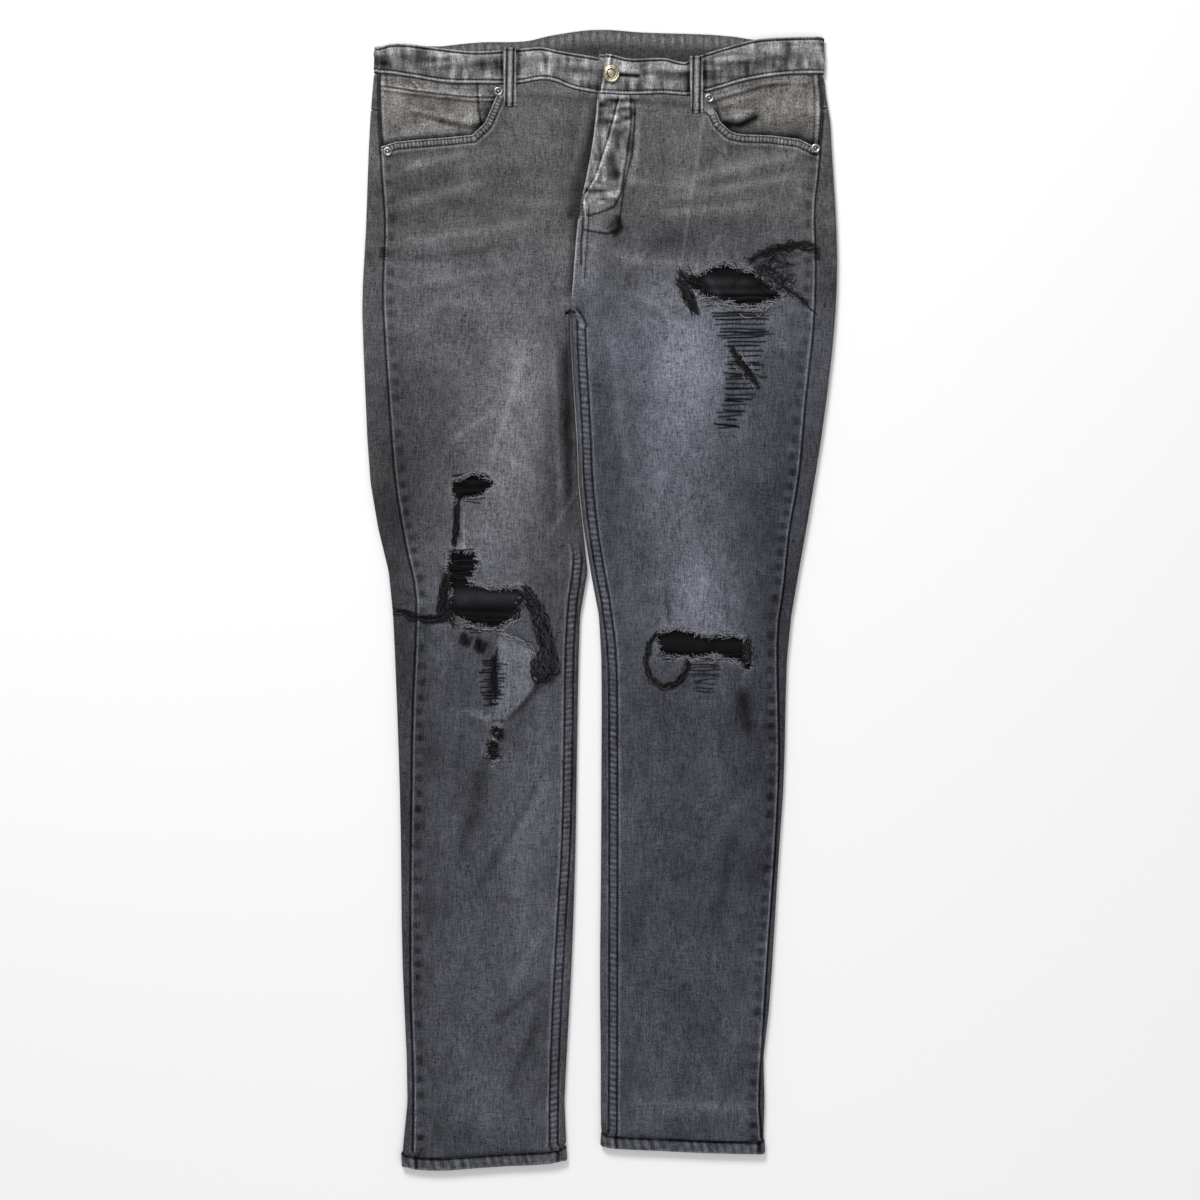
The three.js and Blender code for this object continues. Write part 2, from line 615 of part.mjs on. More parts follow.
// Backing cloth behind the rips, and the closed zip behind the fly, both just behind the front.
function buildBehind() {
  for (const [name, [x0, y0, x1, y1]] of Object.entries(BACKINGS)) {
    const outline = [[x0, y0], [x1, y0], [x1, y1], [x0, y1]];
    place(name, prism(outline, UNDER_FRONT - INLAY, UNDER_FRONT), shadeCloth());
  }
  const nearEdge = raised(FLY_EDGE, ZIP.inset);
  const farEdge = raised(FLY_EDGE, ZIP.inset + ZIP.width);
  const zip = [...downTo(nearEdge, ZIP.top, ZIP.low), ...downTo(farEdge, ZIP.low, ZIP.top)];
  place('zip', prism(zip, UNDER_FRONT - INLAY, UNDER_FRONT), shadeCloth());
}

// Loose thread that hangs out of a rip and lies on the front, as a plain round cord of its reach.
function buildThreads() {
  const sides = 8;
  const ring = Array.from({ length: sides }, (_, i) => {
    const angle = (2 * Math.PI * i) / sides;
    return new THREE.Vector2(THREAD_RADIUS * Math.cos(angle), THREAD_RADIUS * Math.sin(angle));
  });
  const clear = HEIGHT + 2 * GAP + THREAD_RADIUS;
  for (const [name, route] of Object.entries(THREAD_ROUTES)) {
    const points = route.map(([x, y]) => new THREE.Vector3(x, y, clear + foldRise(x, y)));
    const path = new THREE.CatmullRomCurve3(points);
    const tubeShape = new THREE.ExtrudeGeometry(new THREE.Shape(ring),
      { steps: 3 * route.length, extrudePath: path, bevelEnabled: false });
    place(name, toSolid(tubeShape), thread());
  }
}

function buildMetal() {
  const face = HEIGHT + BAND_EXTRA + GAP;
  const dome = [
    [0, UNDER_FRONT + GAP], [1.9, UNDER_FRONT + GAP], [1.9, face + 0.6], [BUTTON_RADIUS - 1, face + 0.1],
    [BUTTON_RADIUS, face + 0.7], [BUTTON_RADIUS, face + 1.4], [BUTTON_RADIUS - 0.8, face + 2.3],
    [BUTTON_RADIUS * 0.55, face + 3], [0, face + 3.3],
  ];
  place('button', turned(dome, BUTTON_PLACE.x, BUTTON_PLACE.y, 32), brass());
  const head = HEIGHT + GAP;
  const cap = [
    [0, head], [RIVET_RADIUS, head], [RIVET_RADIUS, head + 0.5], [RIVET_RADIUS - 0.9, head + 1.1],
    [1.9, head + 0.9], [1.4, head + 1.5], [0, head + 1.7],
  ];
  RIVET_PLACES.forEach(([x, y], i) => place(`rivet_${i + 1}`, turned(cap, x, y, 20), silver()));
}

buildFronts();
buildBacks();
buildWaistband();
buildPockets();
buildLoops();
buildHems();
buildBehind();
buildThreads();
buildMetal();

export default group;
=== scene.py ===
# %% [markdown]
# # Ripped jeans, laid flat
# The solids of these jeans come from the frame: one solid for each piece that a maker cuts and sews.
# Here each piece gets its cloth: fine meshes with creases and seam ridges, washed dye with painted shade,
# stitches, frayed rips and worn metal. Lengths below are in millimetres until a mesh is written in metres.

# %% Load the frame
import math

import bpy
import numpy as np
from mathutils.geometry import delaunay_2d_cdt
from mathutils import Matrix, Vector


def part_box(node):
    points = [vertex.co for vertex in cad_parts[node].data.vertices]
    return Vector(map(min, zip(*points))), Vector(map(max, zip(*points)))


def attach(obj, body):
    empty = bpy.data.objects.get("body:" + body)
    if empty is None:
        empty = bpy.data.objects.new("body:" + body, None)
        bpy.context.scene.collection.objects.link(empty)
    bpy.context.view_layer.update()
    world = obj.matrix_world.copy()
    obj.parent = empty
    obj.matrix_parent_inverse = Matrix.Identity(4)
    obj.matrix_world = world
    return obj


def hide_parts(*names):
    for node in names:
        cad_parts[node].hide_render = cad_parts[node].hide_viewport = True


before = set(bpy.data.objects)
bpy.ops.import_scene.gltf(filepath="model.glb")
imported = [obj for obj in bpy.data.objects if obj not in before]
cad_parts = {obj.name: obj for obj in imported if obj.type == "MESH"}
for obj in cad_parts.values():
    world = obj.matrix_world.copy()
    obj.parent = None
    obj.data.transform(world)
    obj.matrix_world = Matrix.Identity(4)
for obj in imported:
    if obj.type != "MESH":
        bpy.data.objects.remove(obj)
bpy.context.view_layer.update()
MM = 0.001
SIDES = {"left": -1, "right": 1}  # and the sign of x on each
CROTCH = 272  # height where the two legs part

# %% [markdown]
# ## Seam lines
# Every seam is already in the frame, as the rim of a solid. A rim is found as the edges that only
# one upward triangle uses. Reading the rims keeps the fine cloth on its solid, with no second copy
# of the pattern to keep in step.


# %% Rims and widths of the solids
def triangles(node):
    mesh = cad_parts[node].data
    mesh.calc_loop_triangles()
    places = np.array([v.co for v in mesh.vertices]) / MM
    return places[np.array([t.vertices for t in mesh.loop_triangles])]


def rims(node, low=-1.0, high=99.0, up=1):
    """Closed outlines of a solid's faces that look up (or down, with up=-1), the largest first."""
    tri = triangles(node)
    normal = np.cross(tri[:, 1] - tri[:, 0], tri[:, 2] - tri[:, 0])
    level = tri[:, :, 2].mean(axis=1)
    flat = up * normal[:, 2] > 0.75 * np.linalg.norm(normal, axis=1)
    chosen = tri[flat & (level > low) & (level < high)]
    keys = [[tuple(np.round(p[:2], 2)) for p in t] for t in chosen]
    keys = [k for k in keys if len(set(k)) == 3]
    edges = {(k[i], k[(i + 1) % 3]) for k in keys for i in range(3)}
    onward = {a: b for a, b in edges if (b, a) not in edges}
    loops = []
    while onward:
        start, here = onward.popitem()
        loop = [start]
        while here != start and here in onward:
            loop.append(here)
            here = onward.pop(here)
        if len(loop) > 2:
            loops.append(np.array(loop)[::up])
    return sorted(loops, key=lambda loop: -abs(loop_area(loop)))


def loop_area(loop):
    ahead = np.roll(loop, -1, axis=0)
    return 0.5 * float(np.sum(loop[:, 0] * ahead[:, 1] - loop[:, 1] * ahead[:, 0]))


def outline_under(node, **window):
    """The outline of a solid's underside, turned to run anticlockwise from above."""
    outline = rims(node, up=-1, **window)[0]
    return outline[::-1] if loop_area(outline) < 0 else outline


def widths(node, places, low=-1.0, high=99.0, between=(-999, 999), across=0):
    """Least and greatest x of a solid at each height y, or y at each x with across=1."""
    tri = triangles(node)
    level = tri[:, :, 2].mean(axis=1)
    middle = tri[:, :, 0].mean(axis=1)
    tri = tri[(level > low) & (level < high) & (middle > between[0]) & (middle < between[1])]
    a = tri.reshape(-1, 3)
    b = np.roll(tri, -1, axis=1).reshape(-1, 3)
    along = 1 - across
    found = []
    for place in places:
        cross = (a[:, along] > place) != (b[:, along] > place)
        if cross.any():
            p, q = a[cross], b[cross]
            t = (place - p[:, along]) / (q[:, along] - p[:, along])
            reach = p[:, across] + t * (q[:, across] - p[:, across])
            found.append((place, reach.min(), reach.max()))
    return np.array(found)


print("the waistband's rim runs round", round(loop_area(rims("waistband")[0]) / 100), "cm2")

# %% Seam lines of each leg
ROWS = np.arange(-540.0, 541.0, 6.0)
LEGS = {}
for side, sign in SIDES.items():
    window = (-999, -100) if side == "left" else (100, 999)
    inner_window = (-60, 0) if side == "left" else (-30, 60)
    outer, inner = (1, 2) if side == "left" else (2, 1)
    pieces = [f"hem_{side}", f"back_{side}", f"yoke_{side}", "waistband"]
    shape = np.concatenate([widths(p, ROWS, between=window) for p in pieces])
    reach = np.array([(y, sign * (sign * shape[shape[:, 0] == y][:, outer]).max())
                      for y in np.unique(shape[:, 0])])
    seams = np.concatenate([widths(p, ROWS, low=5.2, between=window) for p in pieces[1:3]])
    legs = widths(f"back_{side}", ROWS[ROWS < CROTCH])
    inseams = widths(f"back_{side}", ROWS[ROWS < 262], low=4.9, between=inner_window)
    centre_back = widths(f"back_{side}", ROWS[(ROWS > 278) & (ROWS < 436)], high=2.5)
    yoke_back = widths(f"yoke_{side}", ROWS[ROWS > 447], high=2.5)
    LEGS[side] = {
        "fold": reach,
        "outseam": seams[np.argsort(seams[:, 0])][:, [0, inner]],
        "inner": legs[:, [0, inner]],
        "inseam": inseams[:, [0, outer]],
        "centre": np.concatenate([centre_back, yoke_back])[:, [0, inner]],
    }
    print(side, {k: len(v) for k, v in LEGS[side].items()})


def at(line, y):
    return np.interp(y, line[:, 0], line[:, 1])


# %% [markdown]
# ## Where a point lies
# Wear follows the seams, so most of what follows asks how far a point is from a line, on which
# side, and how far along. Random but repeatable blotches come from a small seeded lattice.


# %% Measuring in the plane
def divided(line, step, closed=True):
    starts, ends = (line, np.roll(line, -1, axis=0)) if closed else (line[:-1], line[1:])
    out = []
    for a, b in zip(starts, ends):
        count = max(1, math.ceil(np.linalg.norm(b - a) / step))
        out.append(a + (b - a) * np.arange(count)[:, None] / count)
    if not closed:
        out.append(line[-1:])
    return np.concatenate(out)


def inside(points, loop):
    x, y = points.T
    hit = np.zeros(len(points), bool)
    for (x0, y0), (x1, y1) in zip(loop, np.roll(loop, -1, axis=0)):
        if y0 != y1:
            hit ^= ((y0 > y) != (y1 > y)) & (x < x0 + (y - y0) * (x1 - x0) / (y1 - y0))
    return hit


def beside(points, line, closed=False):
    """Distance from a line, plus on its left, and the length run along it, for each point."""
    starts, ends = (line, np.roll(line, -1, axis=0)) if closed else (line[:-1], line[1:])
    best = np.full(len(points), 1e9)
    side = np.zeros(len(points))
    along = np.zeros(len(points))
    run = 0.0
    for a, b in zip(starts, ends):
        step = b - a
        length = float(np.hypot(*step))
        if length < 1e-6:
            continue
        reach = points - a
        t = np.clip(reach @ step / length**2, 0, 1)
        away = np.hypot(*(reach - t[:, None] * step).T)
        near = away < best
        best = np.where(near, away, best)
        cross = step[0] * reach[:, 1] - step[1] * reach[:, 0]
        side = np.where(near, np.where(cross < 0, -away, away), side)
        along = np.where(near, run + t * length, along)
        run += length
    return side, along


SQUARE = np.array([(0, 0), (10, 0), (10, 10), (0, 10)], float)  # to try the helpers on
print("the middle of a square lies", beside(SQUARE.mean(axis=0)[None], SQUARE, True)[0], "from its side")


# %% Blotches and soft shapes
def cloud(x, y, size, seed, stretch=1.0):
    """Smooth random field from -1 to 1 with blotches about size across, and stretch times as tall."""
    lattice = np.random.default_rng(seed).uniform(-1, 1, (256, 256))
    u, v = np.asarray(x) / size + 500.0, np.asarray(y) / (size * stretch) + 500.0
    i, j = np.floor(u).astype(int), np.floor(v).astype(int)
    s, t = u - i, v - j
    s, t = s * s * (3 - 2 * s), t * t * (3 - 2 * t)
    pick = lambda a, b: lattice[a % 256, b % 256]
    low = pick(i, j) * (1 - s) + pick(i + 1, j) * s
    high = pick(i, j + 1) * (1 - s) + pick(i + 1, j + 1) * s
    return low * (1 - t) + high * t


def bell(t):
    return np.exp(-np.square(t))


def ramp(value, start, end):
    t = np.clip((value - start) / (end - start), 0, 1)
    return t * t * (3 - 2 * t)


def streak(x, y, a, b, half):
    """1 along the line from a to b, falling softly to 0 at half on either side and past its ends."""
    a, b = np.array(a, float), np.array(b, float)
    line = b - a
    length = np.hypot(*line)
    along = ((x - a[0]) * line[0] + (y - a[1]) * line[1]) / length
    across = ((x - a[0]) * line[1] - (y - a[1]) * line[0]) / length
    ends = ramp(along, -0.15 * length, 0.2 * length) * ramp(along, 1.15 * length, 0.8 * length)
    return bell(across / half) * ends


def patch(x, y, centre, size, turn=0.0):
    """1 at the centre of an oval, falling softly to 0 a little past its rim."""
    c, s = math.cos(math.radians(turn)), math.sin(math.radians(turn))
    u, v = x - centre[0], y - centre[1]
    return bell(np.hypot((c * u + s * v) / size[0], (c * v - s * u) / size[1]))


print("a bell falls to", bell(np.array([0, 0.5, 1, 2])).round(2), "at 0, 0.5, 1 and 2 half widths")

# %% [markdown]
# ## Creases, washed dye and painted shade
# Jeans that are laid flat keep shallow folds: whiskers that fan from the crotch, a long fold beside
# each inseam, and slack around the knees. They are listed as soft ridges. The dye is placed
# the same way: it wears pale on the thighs and knees, and stays dark by the sides.
# The tones also carry painted shade and light along the creases, and painted shadows beside the fly, under
# the waistband and in other hollows.

# %% Creases, listed
CLOTH = 1.3  # thickness of the denim
FLAT = 6.2  # height of the front's outer face at its edges
PUFF = 2.6  # how much higher it stands in the middle of a leg

RIDGES = [  # from, to, half width, rise
    ((-46, 262), (-36, 90), 9, 1.5),
    ((-33, 240), (-28, 90), 5, -1.6),
    ((-188, 405), (-125, 424), 7, 1.0),
    ((-195, 372), (-105, 398), 8, 1.1),
    ((-190, 338), (-60, 358), 9, 1.0),
    ((-180, 300), (-60, 318), 9, 0.8),
    ((-72, 232), (-106, 120), 3.5, 0.9),
    ((-150, 215), (-175, 60), 16, 1.2),
    ((-20, 470), (-30, 345), 9, -1.4),
    ((100, 470), (76, 312), 2.5, 0.7),
    ((80, 398), (198, 424), 7, 1.0),
    ((65, 380), (190, 402), 7, 0.9),
    ((20, 398), (95, 390), 6, 0.8),
    ((25, 322), (75, 318), 6, 0.8),
    ((30, 292), (70, 268), 7, 0.8),
    ((8, 255), (30, 110), 12, 1.1),
    ((150, 175), (135, 60), 10, 1.0),
    ((160, 60), (140, -15), 10, -0.9),
    ((-108, -158), (-130, -240), 9, -1.4),
    ((-95, -150), (-112, -240), 8, 1.2),
    ((-60, -180), (-116, -276), 5, -1.2),
    ((-47, -300), (-88, -376), 7, 1.4),
    ((-56, -366), (-104, -402), 5, -1.2),
    ((-58, -392), (-88, -470), 8, 1.0),
    ((-60, -118), (-95, -196), 8, 1.0),
    ((20, -150), (60, -200), 9, 0.9),
    ((126, -75), (128, -104), 3, 1.6),
    ((134, -84), (141, -128), 6, -1.3),
    ((100, -140), (70, -240), 12, 0.9),
    ((130, -210), (104, -330), 9, -0.9),
    ((95, -380), (140, -452), 8, 1.0),
    ((28, -474), (140, -482), 6, 1.0),
    ((40, -494), (150, -498), 4, -0.8),
    ((-150, -495), (-60, -500), 6, 0.9),
    ((-165, -300), (-158, -480), 9, 0.8),
]
print("creases:", len(RIDGES), "of which the deepest", min(rise for *_, rise in RIDGES), "mm")


# %% Form of the front
def form(x, y):
    """Height of the front cloth above the surface that the jeans lie on, without its seam ridges."""
    x, y = np.asarray(x, float), np.asarray(y, float)
    left = x < at_split(y)
    fold = np.where(left, x - at(LEGS["left"]["fold"], y), at(LEGS["right"]["fold"], y) - x)
    inner = np.where(left, at(LEGS["left"]["inner"], y) - x, x - at(LEGS["right"]["inner"], y))
    inner = inner + 200 * ramp(y, 170, CROTCH)
    room = 1 - np.exp(-np.clip(np.minimum(fold, inner), 0, None) / 30)
    height = FLAT + PUFF * room * ramp(y, 478, 420) + 0.4 * room
    for a, b, half, rise in RIDGES:
        height = height + rise * streak(x, y, a, b, half)
    height = height + 0.45 * room * cloud(x, y, 34, 3, 1.3) + 0.18 * room * cloud(x, y, 11, 4)
    return height


FLY_FOOT = 268  # below it the line between the sides runs down the gap between the legs


def at_split(y):
    """Line between the two legs, and up the fly."""
    legs = 0.5 * (at(LEGS["left"]["inner"], y) + at(LEGS["right"]["inner"], y))
    return np.where(y < FLY_FOOT, legs, np.interp(y, fly_line[:, 1], fly_line[:, 0]))


fly_line = widths("front_right", np.arange(276, 480, 6.0))[:, [1, 0]]
print("fly from", fly_line[0].round(1), "to", fly_line[-1].round(1))

# %% Where the dye is worn or dark, and where shadow is painted
FADES = [  # centre, half size, turn, change in shade
    ((-82, 165), (34, 105), -6, 34),
    ((-100, 55), (62, 62), 0, 19),
    ((-160, 20), (30, 60), 0, 12),
    ((-190, 150), (26, 220), 0, -14),
    # painted shadow in the fold beside the left inseam
    ((-40, 170), (13, 85), -4, -20),
    ((-150, 270), (60, 70), 0, 5),
    ((84, 232), (40, 62), 0, 44),
    ((70, 110), (44, 95), 0, 22),
    ((92, 0), (38, 44), 0, 42),
    ((8, 150), (14, 120), 0, -3),
    ((170, 130), (24, 160), 0, -9),
    ((100, 400), (60, 26), 8, 2),
    ((60, 345), (60, 22), 0, -8),
    ((-60, 450), (26, 30), 0, 4),
    ((-150, 380), (60, 34), 0, -9),
    ((110, 345), (60, 22), 0, -12),
    ((-90, 385), (110, 85), 0, -6),
    ((110, 405), (80, 60), 0, -8),
    ((216, 320), (16, 70), 0, -16),
    ((150, -350), (40, 60), 0, 9),
    ((-120, -300), (50, 120), 0, 6),
    ((-100, -490), (80, 30), 0, 10),
    # painted shadow beside the fly's flap
    ((-24, 420), (12, 60), -6, -16),
    ((-20, 300), (9, 50), -3, -18),
    # painted shade under the loose threads of the thigh rip
    ((164, 312), (22, 15), -18, -24),
    ((-190, 400), (12, 60), 0, -8),
    ((-60, -230), (26, 140), 0, 16),
    ((-165, -230), (12, 230), 0, -9),
    ((150, -260), (16, 200), 0, -9),
    ((100, -484), (60, 12), 0, 12),
    ((-100, -505), (70, 10), 0, -6),
]
# whiskers and creases: the pale whiskers across the hips are wear, while the dark lines along crease
# troughs and the pale lines along crease crests are painted shade and painted light
STREAKS = [  # from, to, half width, change in shade
    ((-190, 408), (-125, 424), 4.5, 12),
    ((-195, 372), (-105, 398), 5, 12),
    ((-190, 338), (-60, 358), 4, 10),
    ((-180, 322), (-80, 336), 4, -8),
    ((-180, 300), (-60, 318), 4, 8),
    ((-150, 395), (-60, 408), 6, -7),
    ((-72, 232), (-106, 120), 3.0, 8),
    ((-50, 58), (-22, 104), 2.2, 12),
    ((-140, 150), (-100, 180), 4, 10),
    ((-46, 262), (-38, 90), 3, 12),
    # painted shadow in the trough beside the left inseam
    ((-32, 240), (-29, 90), 5, -22),
    ((100, 470), (76, 312), 1.6, 11),
    ((80, 398), (198, 424), 4, 13),
    ((65, 380), (190, 402), 4, 12),
    ((60, 366), (160, 376), 3, 9),
    ((20, 398), (95, 390), 3, 10),
    ((25, 322), (75, 318), 3.5, 10),
    ((30, 292), (70, 268), 4, 9),
    ((10, 255), (28, 110), 5, 8),
    ((-108, -158), (-130, -240), 8, -12),
    ((-60, -180), (-116, -276), 4, -8),
    ((-50, -176), (-106, -272), 4, 4),
    ((-47, -300), (-88, -376), 5, 7),
    ((-56, -366), (-104, -402), 4, -9),
    ((-58, -392), (-88, -470), 5, -8),
    ((134, -84), (141, -128), 6, -18),
    ((130, -210), (104, -330), 6, -8),
    ((28, -474), (140, -482), 4, 6),
    ((63, 20), (66, -24), 2, -9),
    ((120, 16), (121, -26), 2, -10),
]
TWILL_FLAP = np.array([
    (-97, -34), (-80, -36), (-68, -46), (-60, -62), (-58, -74), (-66, -88), (-78, -101), (-90, -113),
    (-107, -115), (-124, -109), (-146, -104), (-142, -100), (-118, -92), (-100, -84), (-97, -60),
])
print("fades:", len(FADES), "streaks:", len(STREAKS))


# %% Shade and tint of the dye
def shade(x, y):
    """Lightness of the washed dye, with painted shade and light, on a scale from 0, black, to 255, white.
    """
    x, y = np.asarray(x, float), np.asarray(y, float)
    value = 70 + 20 * ramp(y, 60, 330) + 3 * ramp(y, 330, 470)
    for centre, size, turn, change in FADES:
        value = value + change * patch(x, y, centre, size, turn)
    for a, b, half, change in STREAKS:
        # streaks count 1.7 times, which strengthens their painted crease shade and light
        value = value + 1.7 * change * streak(x, y, a, b, half)
    points = np.column_stack([np.ravel(x), np.ravel(y)])
    away, _ = beside(points, TWILL_FLAP, closed=True)
    flap = np.where(inside(points, TWILL_FLAP), np.abs(away), -np.abs(away)).reshape(x.shape)
    open_side = ramp(x, -96, -104) * ramp(y, -112, -100)
    value = value + 31 * ramp(flap, -1.0, 1.5) * (1 - open_side)
    value = value + 10 * bell((flap - 1.5) / 1.3) * ramp(x, -90, -70)
    # painted shadow along the right edge of the flap, outside it
    value = value - 26 * bell((flap + 2.5) / 2.6) * ramp(x, -95, -72)
    value = value + 6.5 * cloud(x, y, 26, 11, 1.6) + 5.5 * cloud(x, y, 9, 12, 1.8)
    value = value + 7.0 * cloud(x + 0.3 * y, y, 30, 13, 0.35) * ramp(y, 120, 300)
    return value + 3.5 * cloud(x, y, 3.2, 14, 2.6)


def blue(x, y):
    """How blue the grey is, from 0 at the hips to 1 down the right leg."""
    left = 0.3 + 0.45 * ramp(y, 150, -100)
    return ramp(y, 390, 230) * np.where(x < at_split(y), left, 0.95) + 0.05


# turns a tone into colour; the tones hold washed dye and also painted shade and painted light
def dye_and_painted_shade(value, tint):
    """Linear colour of a shade from 0 to 255, tinted from neutral towards blue."""
    s = np.clip(value, 6, 235) / 255
    linear = np.where(s < 0.04045, s / 12.92, ((s + 0.055) / 1.055) ** 2.4)
    tint = np.clip(tint, -1, 1)[:, None]
    neutral, cool = np.array([1.0, 0.995, 1.01]), np.array([0.91, 0.945, 1.145])
    return linear[:, None] * (neutral + (cool - neutral) * tint)


print("shade on a thigh and a shin:", shade(85, 230).round(), shade(90, -250).round())

# %% [markdown]
# ## What a seam does to the cloth
# Each kind of seam lifts and pinches the cloth in its own way, and the wash then bleaches what is
# lifted and leaves the pinched parts dark. Beside the fly the darkening is painted shade, as if cast by
# the flap. One function gives both, from the distance to the seam and the length along it, so the
# ridges and the wear always agree.


# %% Seam marks
OUTSEAM_PITCH, INSEAM_PITCH, MOUTH_PITCH = 14.5, 5.4, 3.5  # from one pucker to the next


def outseam_mark(d, s):
    puckers = np.cos(2 * np.pi * s / OUTSEAM_PITCH + 2.4 * np.sin(s / 31))
    blotch = bell((d - 6) / 3.8) * ramp(puckers, -0.6, 0.8)
    blotch = blotch * (0.75 + 0.5 * cloud(s, d, 13, 33))
    value = 44 * bell((d - 1.0) / 0.9) - 60 * bell((d + 0.9) / 1.0) - 31 * blotch
    value = value - 7 * ramp(d, -2, -5) * ramp(d, -30, -20)
    lift = 0.8 * bell((d - 1.0) / 1.2) - 0.7 * bell((d + 0.9) / 0.8) - 0.35 * blotch
    return lift, value


def inseam_mark(d, s):
    within = ramp(d, 0.6, 2.2) * ramp(d, 9.6, 8.0)
    knot = np.cos(2 * np.pi * s / INSEAM_PITCH + 2.4 * np.sin(s / 17) + 0.25 * d)
    knot = knot * (0.55 + 0.45 * cloud(s, d, 6, 34))
    lines = bell((d - 1.4) / 0.9) + bell((d - 9.0) / 0.9)
    value = within * (8 + 30 * knot) - 66 * lines + 32 * bell((d - 11.2) / 1.0)
    value = value + 22 * bell((d + 0.3) / 0.7)
    lift = 0.9 * ramp(d, -1.2, 0.4) * ramp(d, 12.5, 10.5) - 0.6 * lines + 0.22 * within * knot
    return lift, value


def mouth_mark(d, s):
    within = ramp(d, 1.2, 2.4) * ramp(d, 7.2, 6.2)
    knot = np.cos(2 * np.pi * s / MOUTH_PITCH + np.sin(s / 9))
    lines = bell((d - 1.6) / 0.6) + bell((d - 7.0) / 0.8)
    value = 78 * bell((d - 0.3) / 0.8) + within * (8 + 44 * knot) - 54 * lines
    value = value + 32 * bell((d - 9.0) / 1.0) - 14 * bell((d - 12) / 3)
    lift = 1.3 * ramp(d, 9.5, 4.0) * ramp(d, -0.6, 0.8) - 0.6 * lines + 0.3 * within * knot
    return lift, value


def fly_mark(d, s):
    value = 60 * bell((d - 0.6) / 1.0) + 22 * ramp(d, 30, 16) * ramp(d, -1, 2) * ramp(s, 212, 190)
    lift = 1.5 * ramp(d, -0.5, 0.8) * ramp(d, 60, 8)
    return lift, value


# the cloth dips under the fly's flap, with painted shade beside the flap
def under_fly_dip_and_painted_shade(d, s):
    return -1.0 * ramp(d, 14, 0), -30 * ramp(d, 9, 0)


def torn_mark(d, s):
    return 0.7 * bell(d / 3.0), 16 * bell(d / 1.6) + 8 * bell(d / 5)


MARKS = {  # what each seam does, and how far on either side it needs close points
    "outseam": (outseam_mark, (-1.8, 13.0)),
    "inseam": (inseam_mark, (-1.0, 12.5)),
    "mouth": (mouth_mark, (0.3, 11.0)),
    "fly": (fly_mark, (0.3, 3.5)),
    "under_fly": (under_fly_dip_and_painted_shade, (0.3, 3.0)),
    "torn": (torn_mark, (0.3, 4.0)),
}


def seam_marks(points, marks):
    lift, value = np.zeros(len(points)), np.zeros(len(points))
    for kind, line, sign in marks:
        side, along = beside(points, line, closed=kind == "torn")
        side = np.abs(side) if kind == "torn" else sign * side
        near = (side > -40) & (side < 60)
        more = MARKS[kind][0](side, along)
        share = 1.0
        if kind == "inseam":
            share = ramp(points[:, 1], 62, 34) if sign > 0 else ramp(points[:, 1], 262, 257)
        if kind in ("fly", "under_fly"):
            share = ramp(points[:, 1], 277, 300)
        lift += np.where(near, share * more[0], 0)
        value += np.where(near, share * more[1], 0)
    return lift, value


print("seams that mark the cloth:", ", ".join(MARKS))


# %% [markdown]
# ## Cloth from an outline
# A flat piece is triangulated inside its outline, with close points along its seams, where the
# ridges are, and wider ones between. The top follows the form of the front and the underside
# lies one cloth thickness below, so each piece is a thin closed shell.


# %% Writing meshes
RIP_STEP = 1.1  # between points round a rip
BAND_RUN, BAND_ACROSS = 1.5, 0.9  # between points along a seam's ridges, and across them


def new_object(name, verts, faces, material, colours=None):
    mesh = bpy.data.meshes.new(name)
    mesh.from_pydata((np.asarray(verts) * MM).tolist(), [], [list(map(int, f)) for f in faces])
    if colours is not None:
        # this colour attribute holds washed dye together with painted shade and painted light
        layer = mesh.color_attributes.new("dye_and_painted_shade", "FLOAT_COLOR", "POINT")
        layer.data.foreach_set("color", np.column_stack([colours, np.ones(len(colours))]).ravel())
    mesh.materials.append(material)
    mesh.polygons.foreach_set("use_smooth", [True] * len(mesh.polygons))
    mesh.update()
    thing = bpy.data.objects.new(name, mesh)
    bpy.context.scene.collection.objects.link(thing)
    return thing


def turn_of(p, q, r):
    """Twice the area of a triangle, plus when it runs anticlockwise."""
    left = (q[..., 0] - p[..., 0]) * (r[..., 1] - p[..., 1])
    return left - (q[..., 1] - p[..., 1]) * (r[..., 0] - p[..., 0])


print("half a square of side 10 has", 0.5 * turn_of(*SQUARE[:3]), "mm2")


# %% Filling an outline
def triangulated(outline, holes, points):
    """Vertices and triangles that fill an outline, less its holes, through the given points."""
    loops = [outline, *holes]
    verts = np.concatenate([*loops, points])
    edges, start = [], 0
    for loop in loops:
        n = len(loop)
        edges += [(start + i, start + (i + 1) % n) for i in range(n)]
        start += n
    found = delaunay_2d_cdt([tuple(map(float, v)) for v in verts], edges, [], 0, 1e-5, False)
    flat = np.array([tuple(v) for v in found[0]])
    tri = np.array([f for f in found[2] if len(f) == 3])
    middle = flat[tri].mean(axis=1)
    keep = inside(middle, outline)
    for hole in holes:
        keep &= ~inside(middle, hole)
    tri = tri[keep]
    used = np.unique(tri)
    renumber = np.full(len(flat), -1)
    renumber[used] = np.arange(len(used))
    flat, tri = flat[used], renumber[tri]
    backward = turn_of(*flat[tri.T]) < 0
    tri[backward] = tri[backward][:, ::-1]
    return flat, tri


def grid_points(loop, step):
    low, high = loop.min(axis=0), loop.max(axis=0)
    x, y = np.meshgrid(*(np.arange(low[i] + step / 2, high[i], step) for i in (0, 1)))
    x = x + (np.arange(len(y)) % 2)[:, None] * step / 2
    return np.column_stack([x.ravel(), y.ravel()])


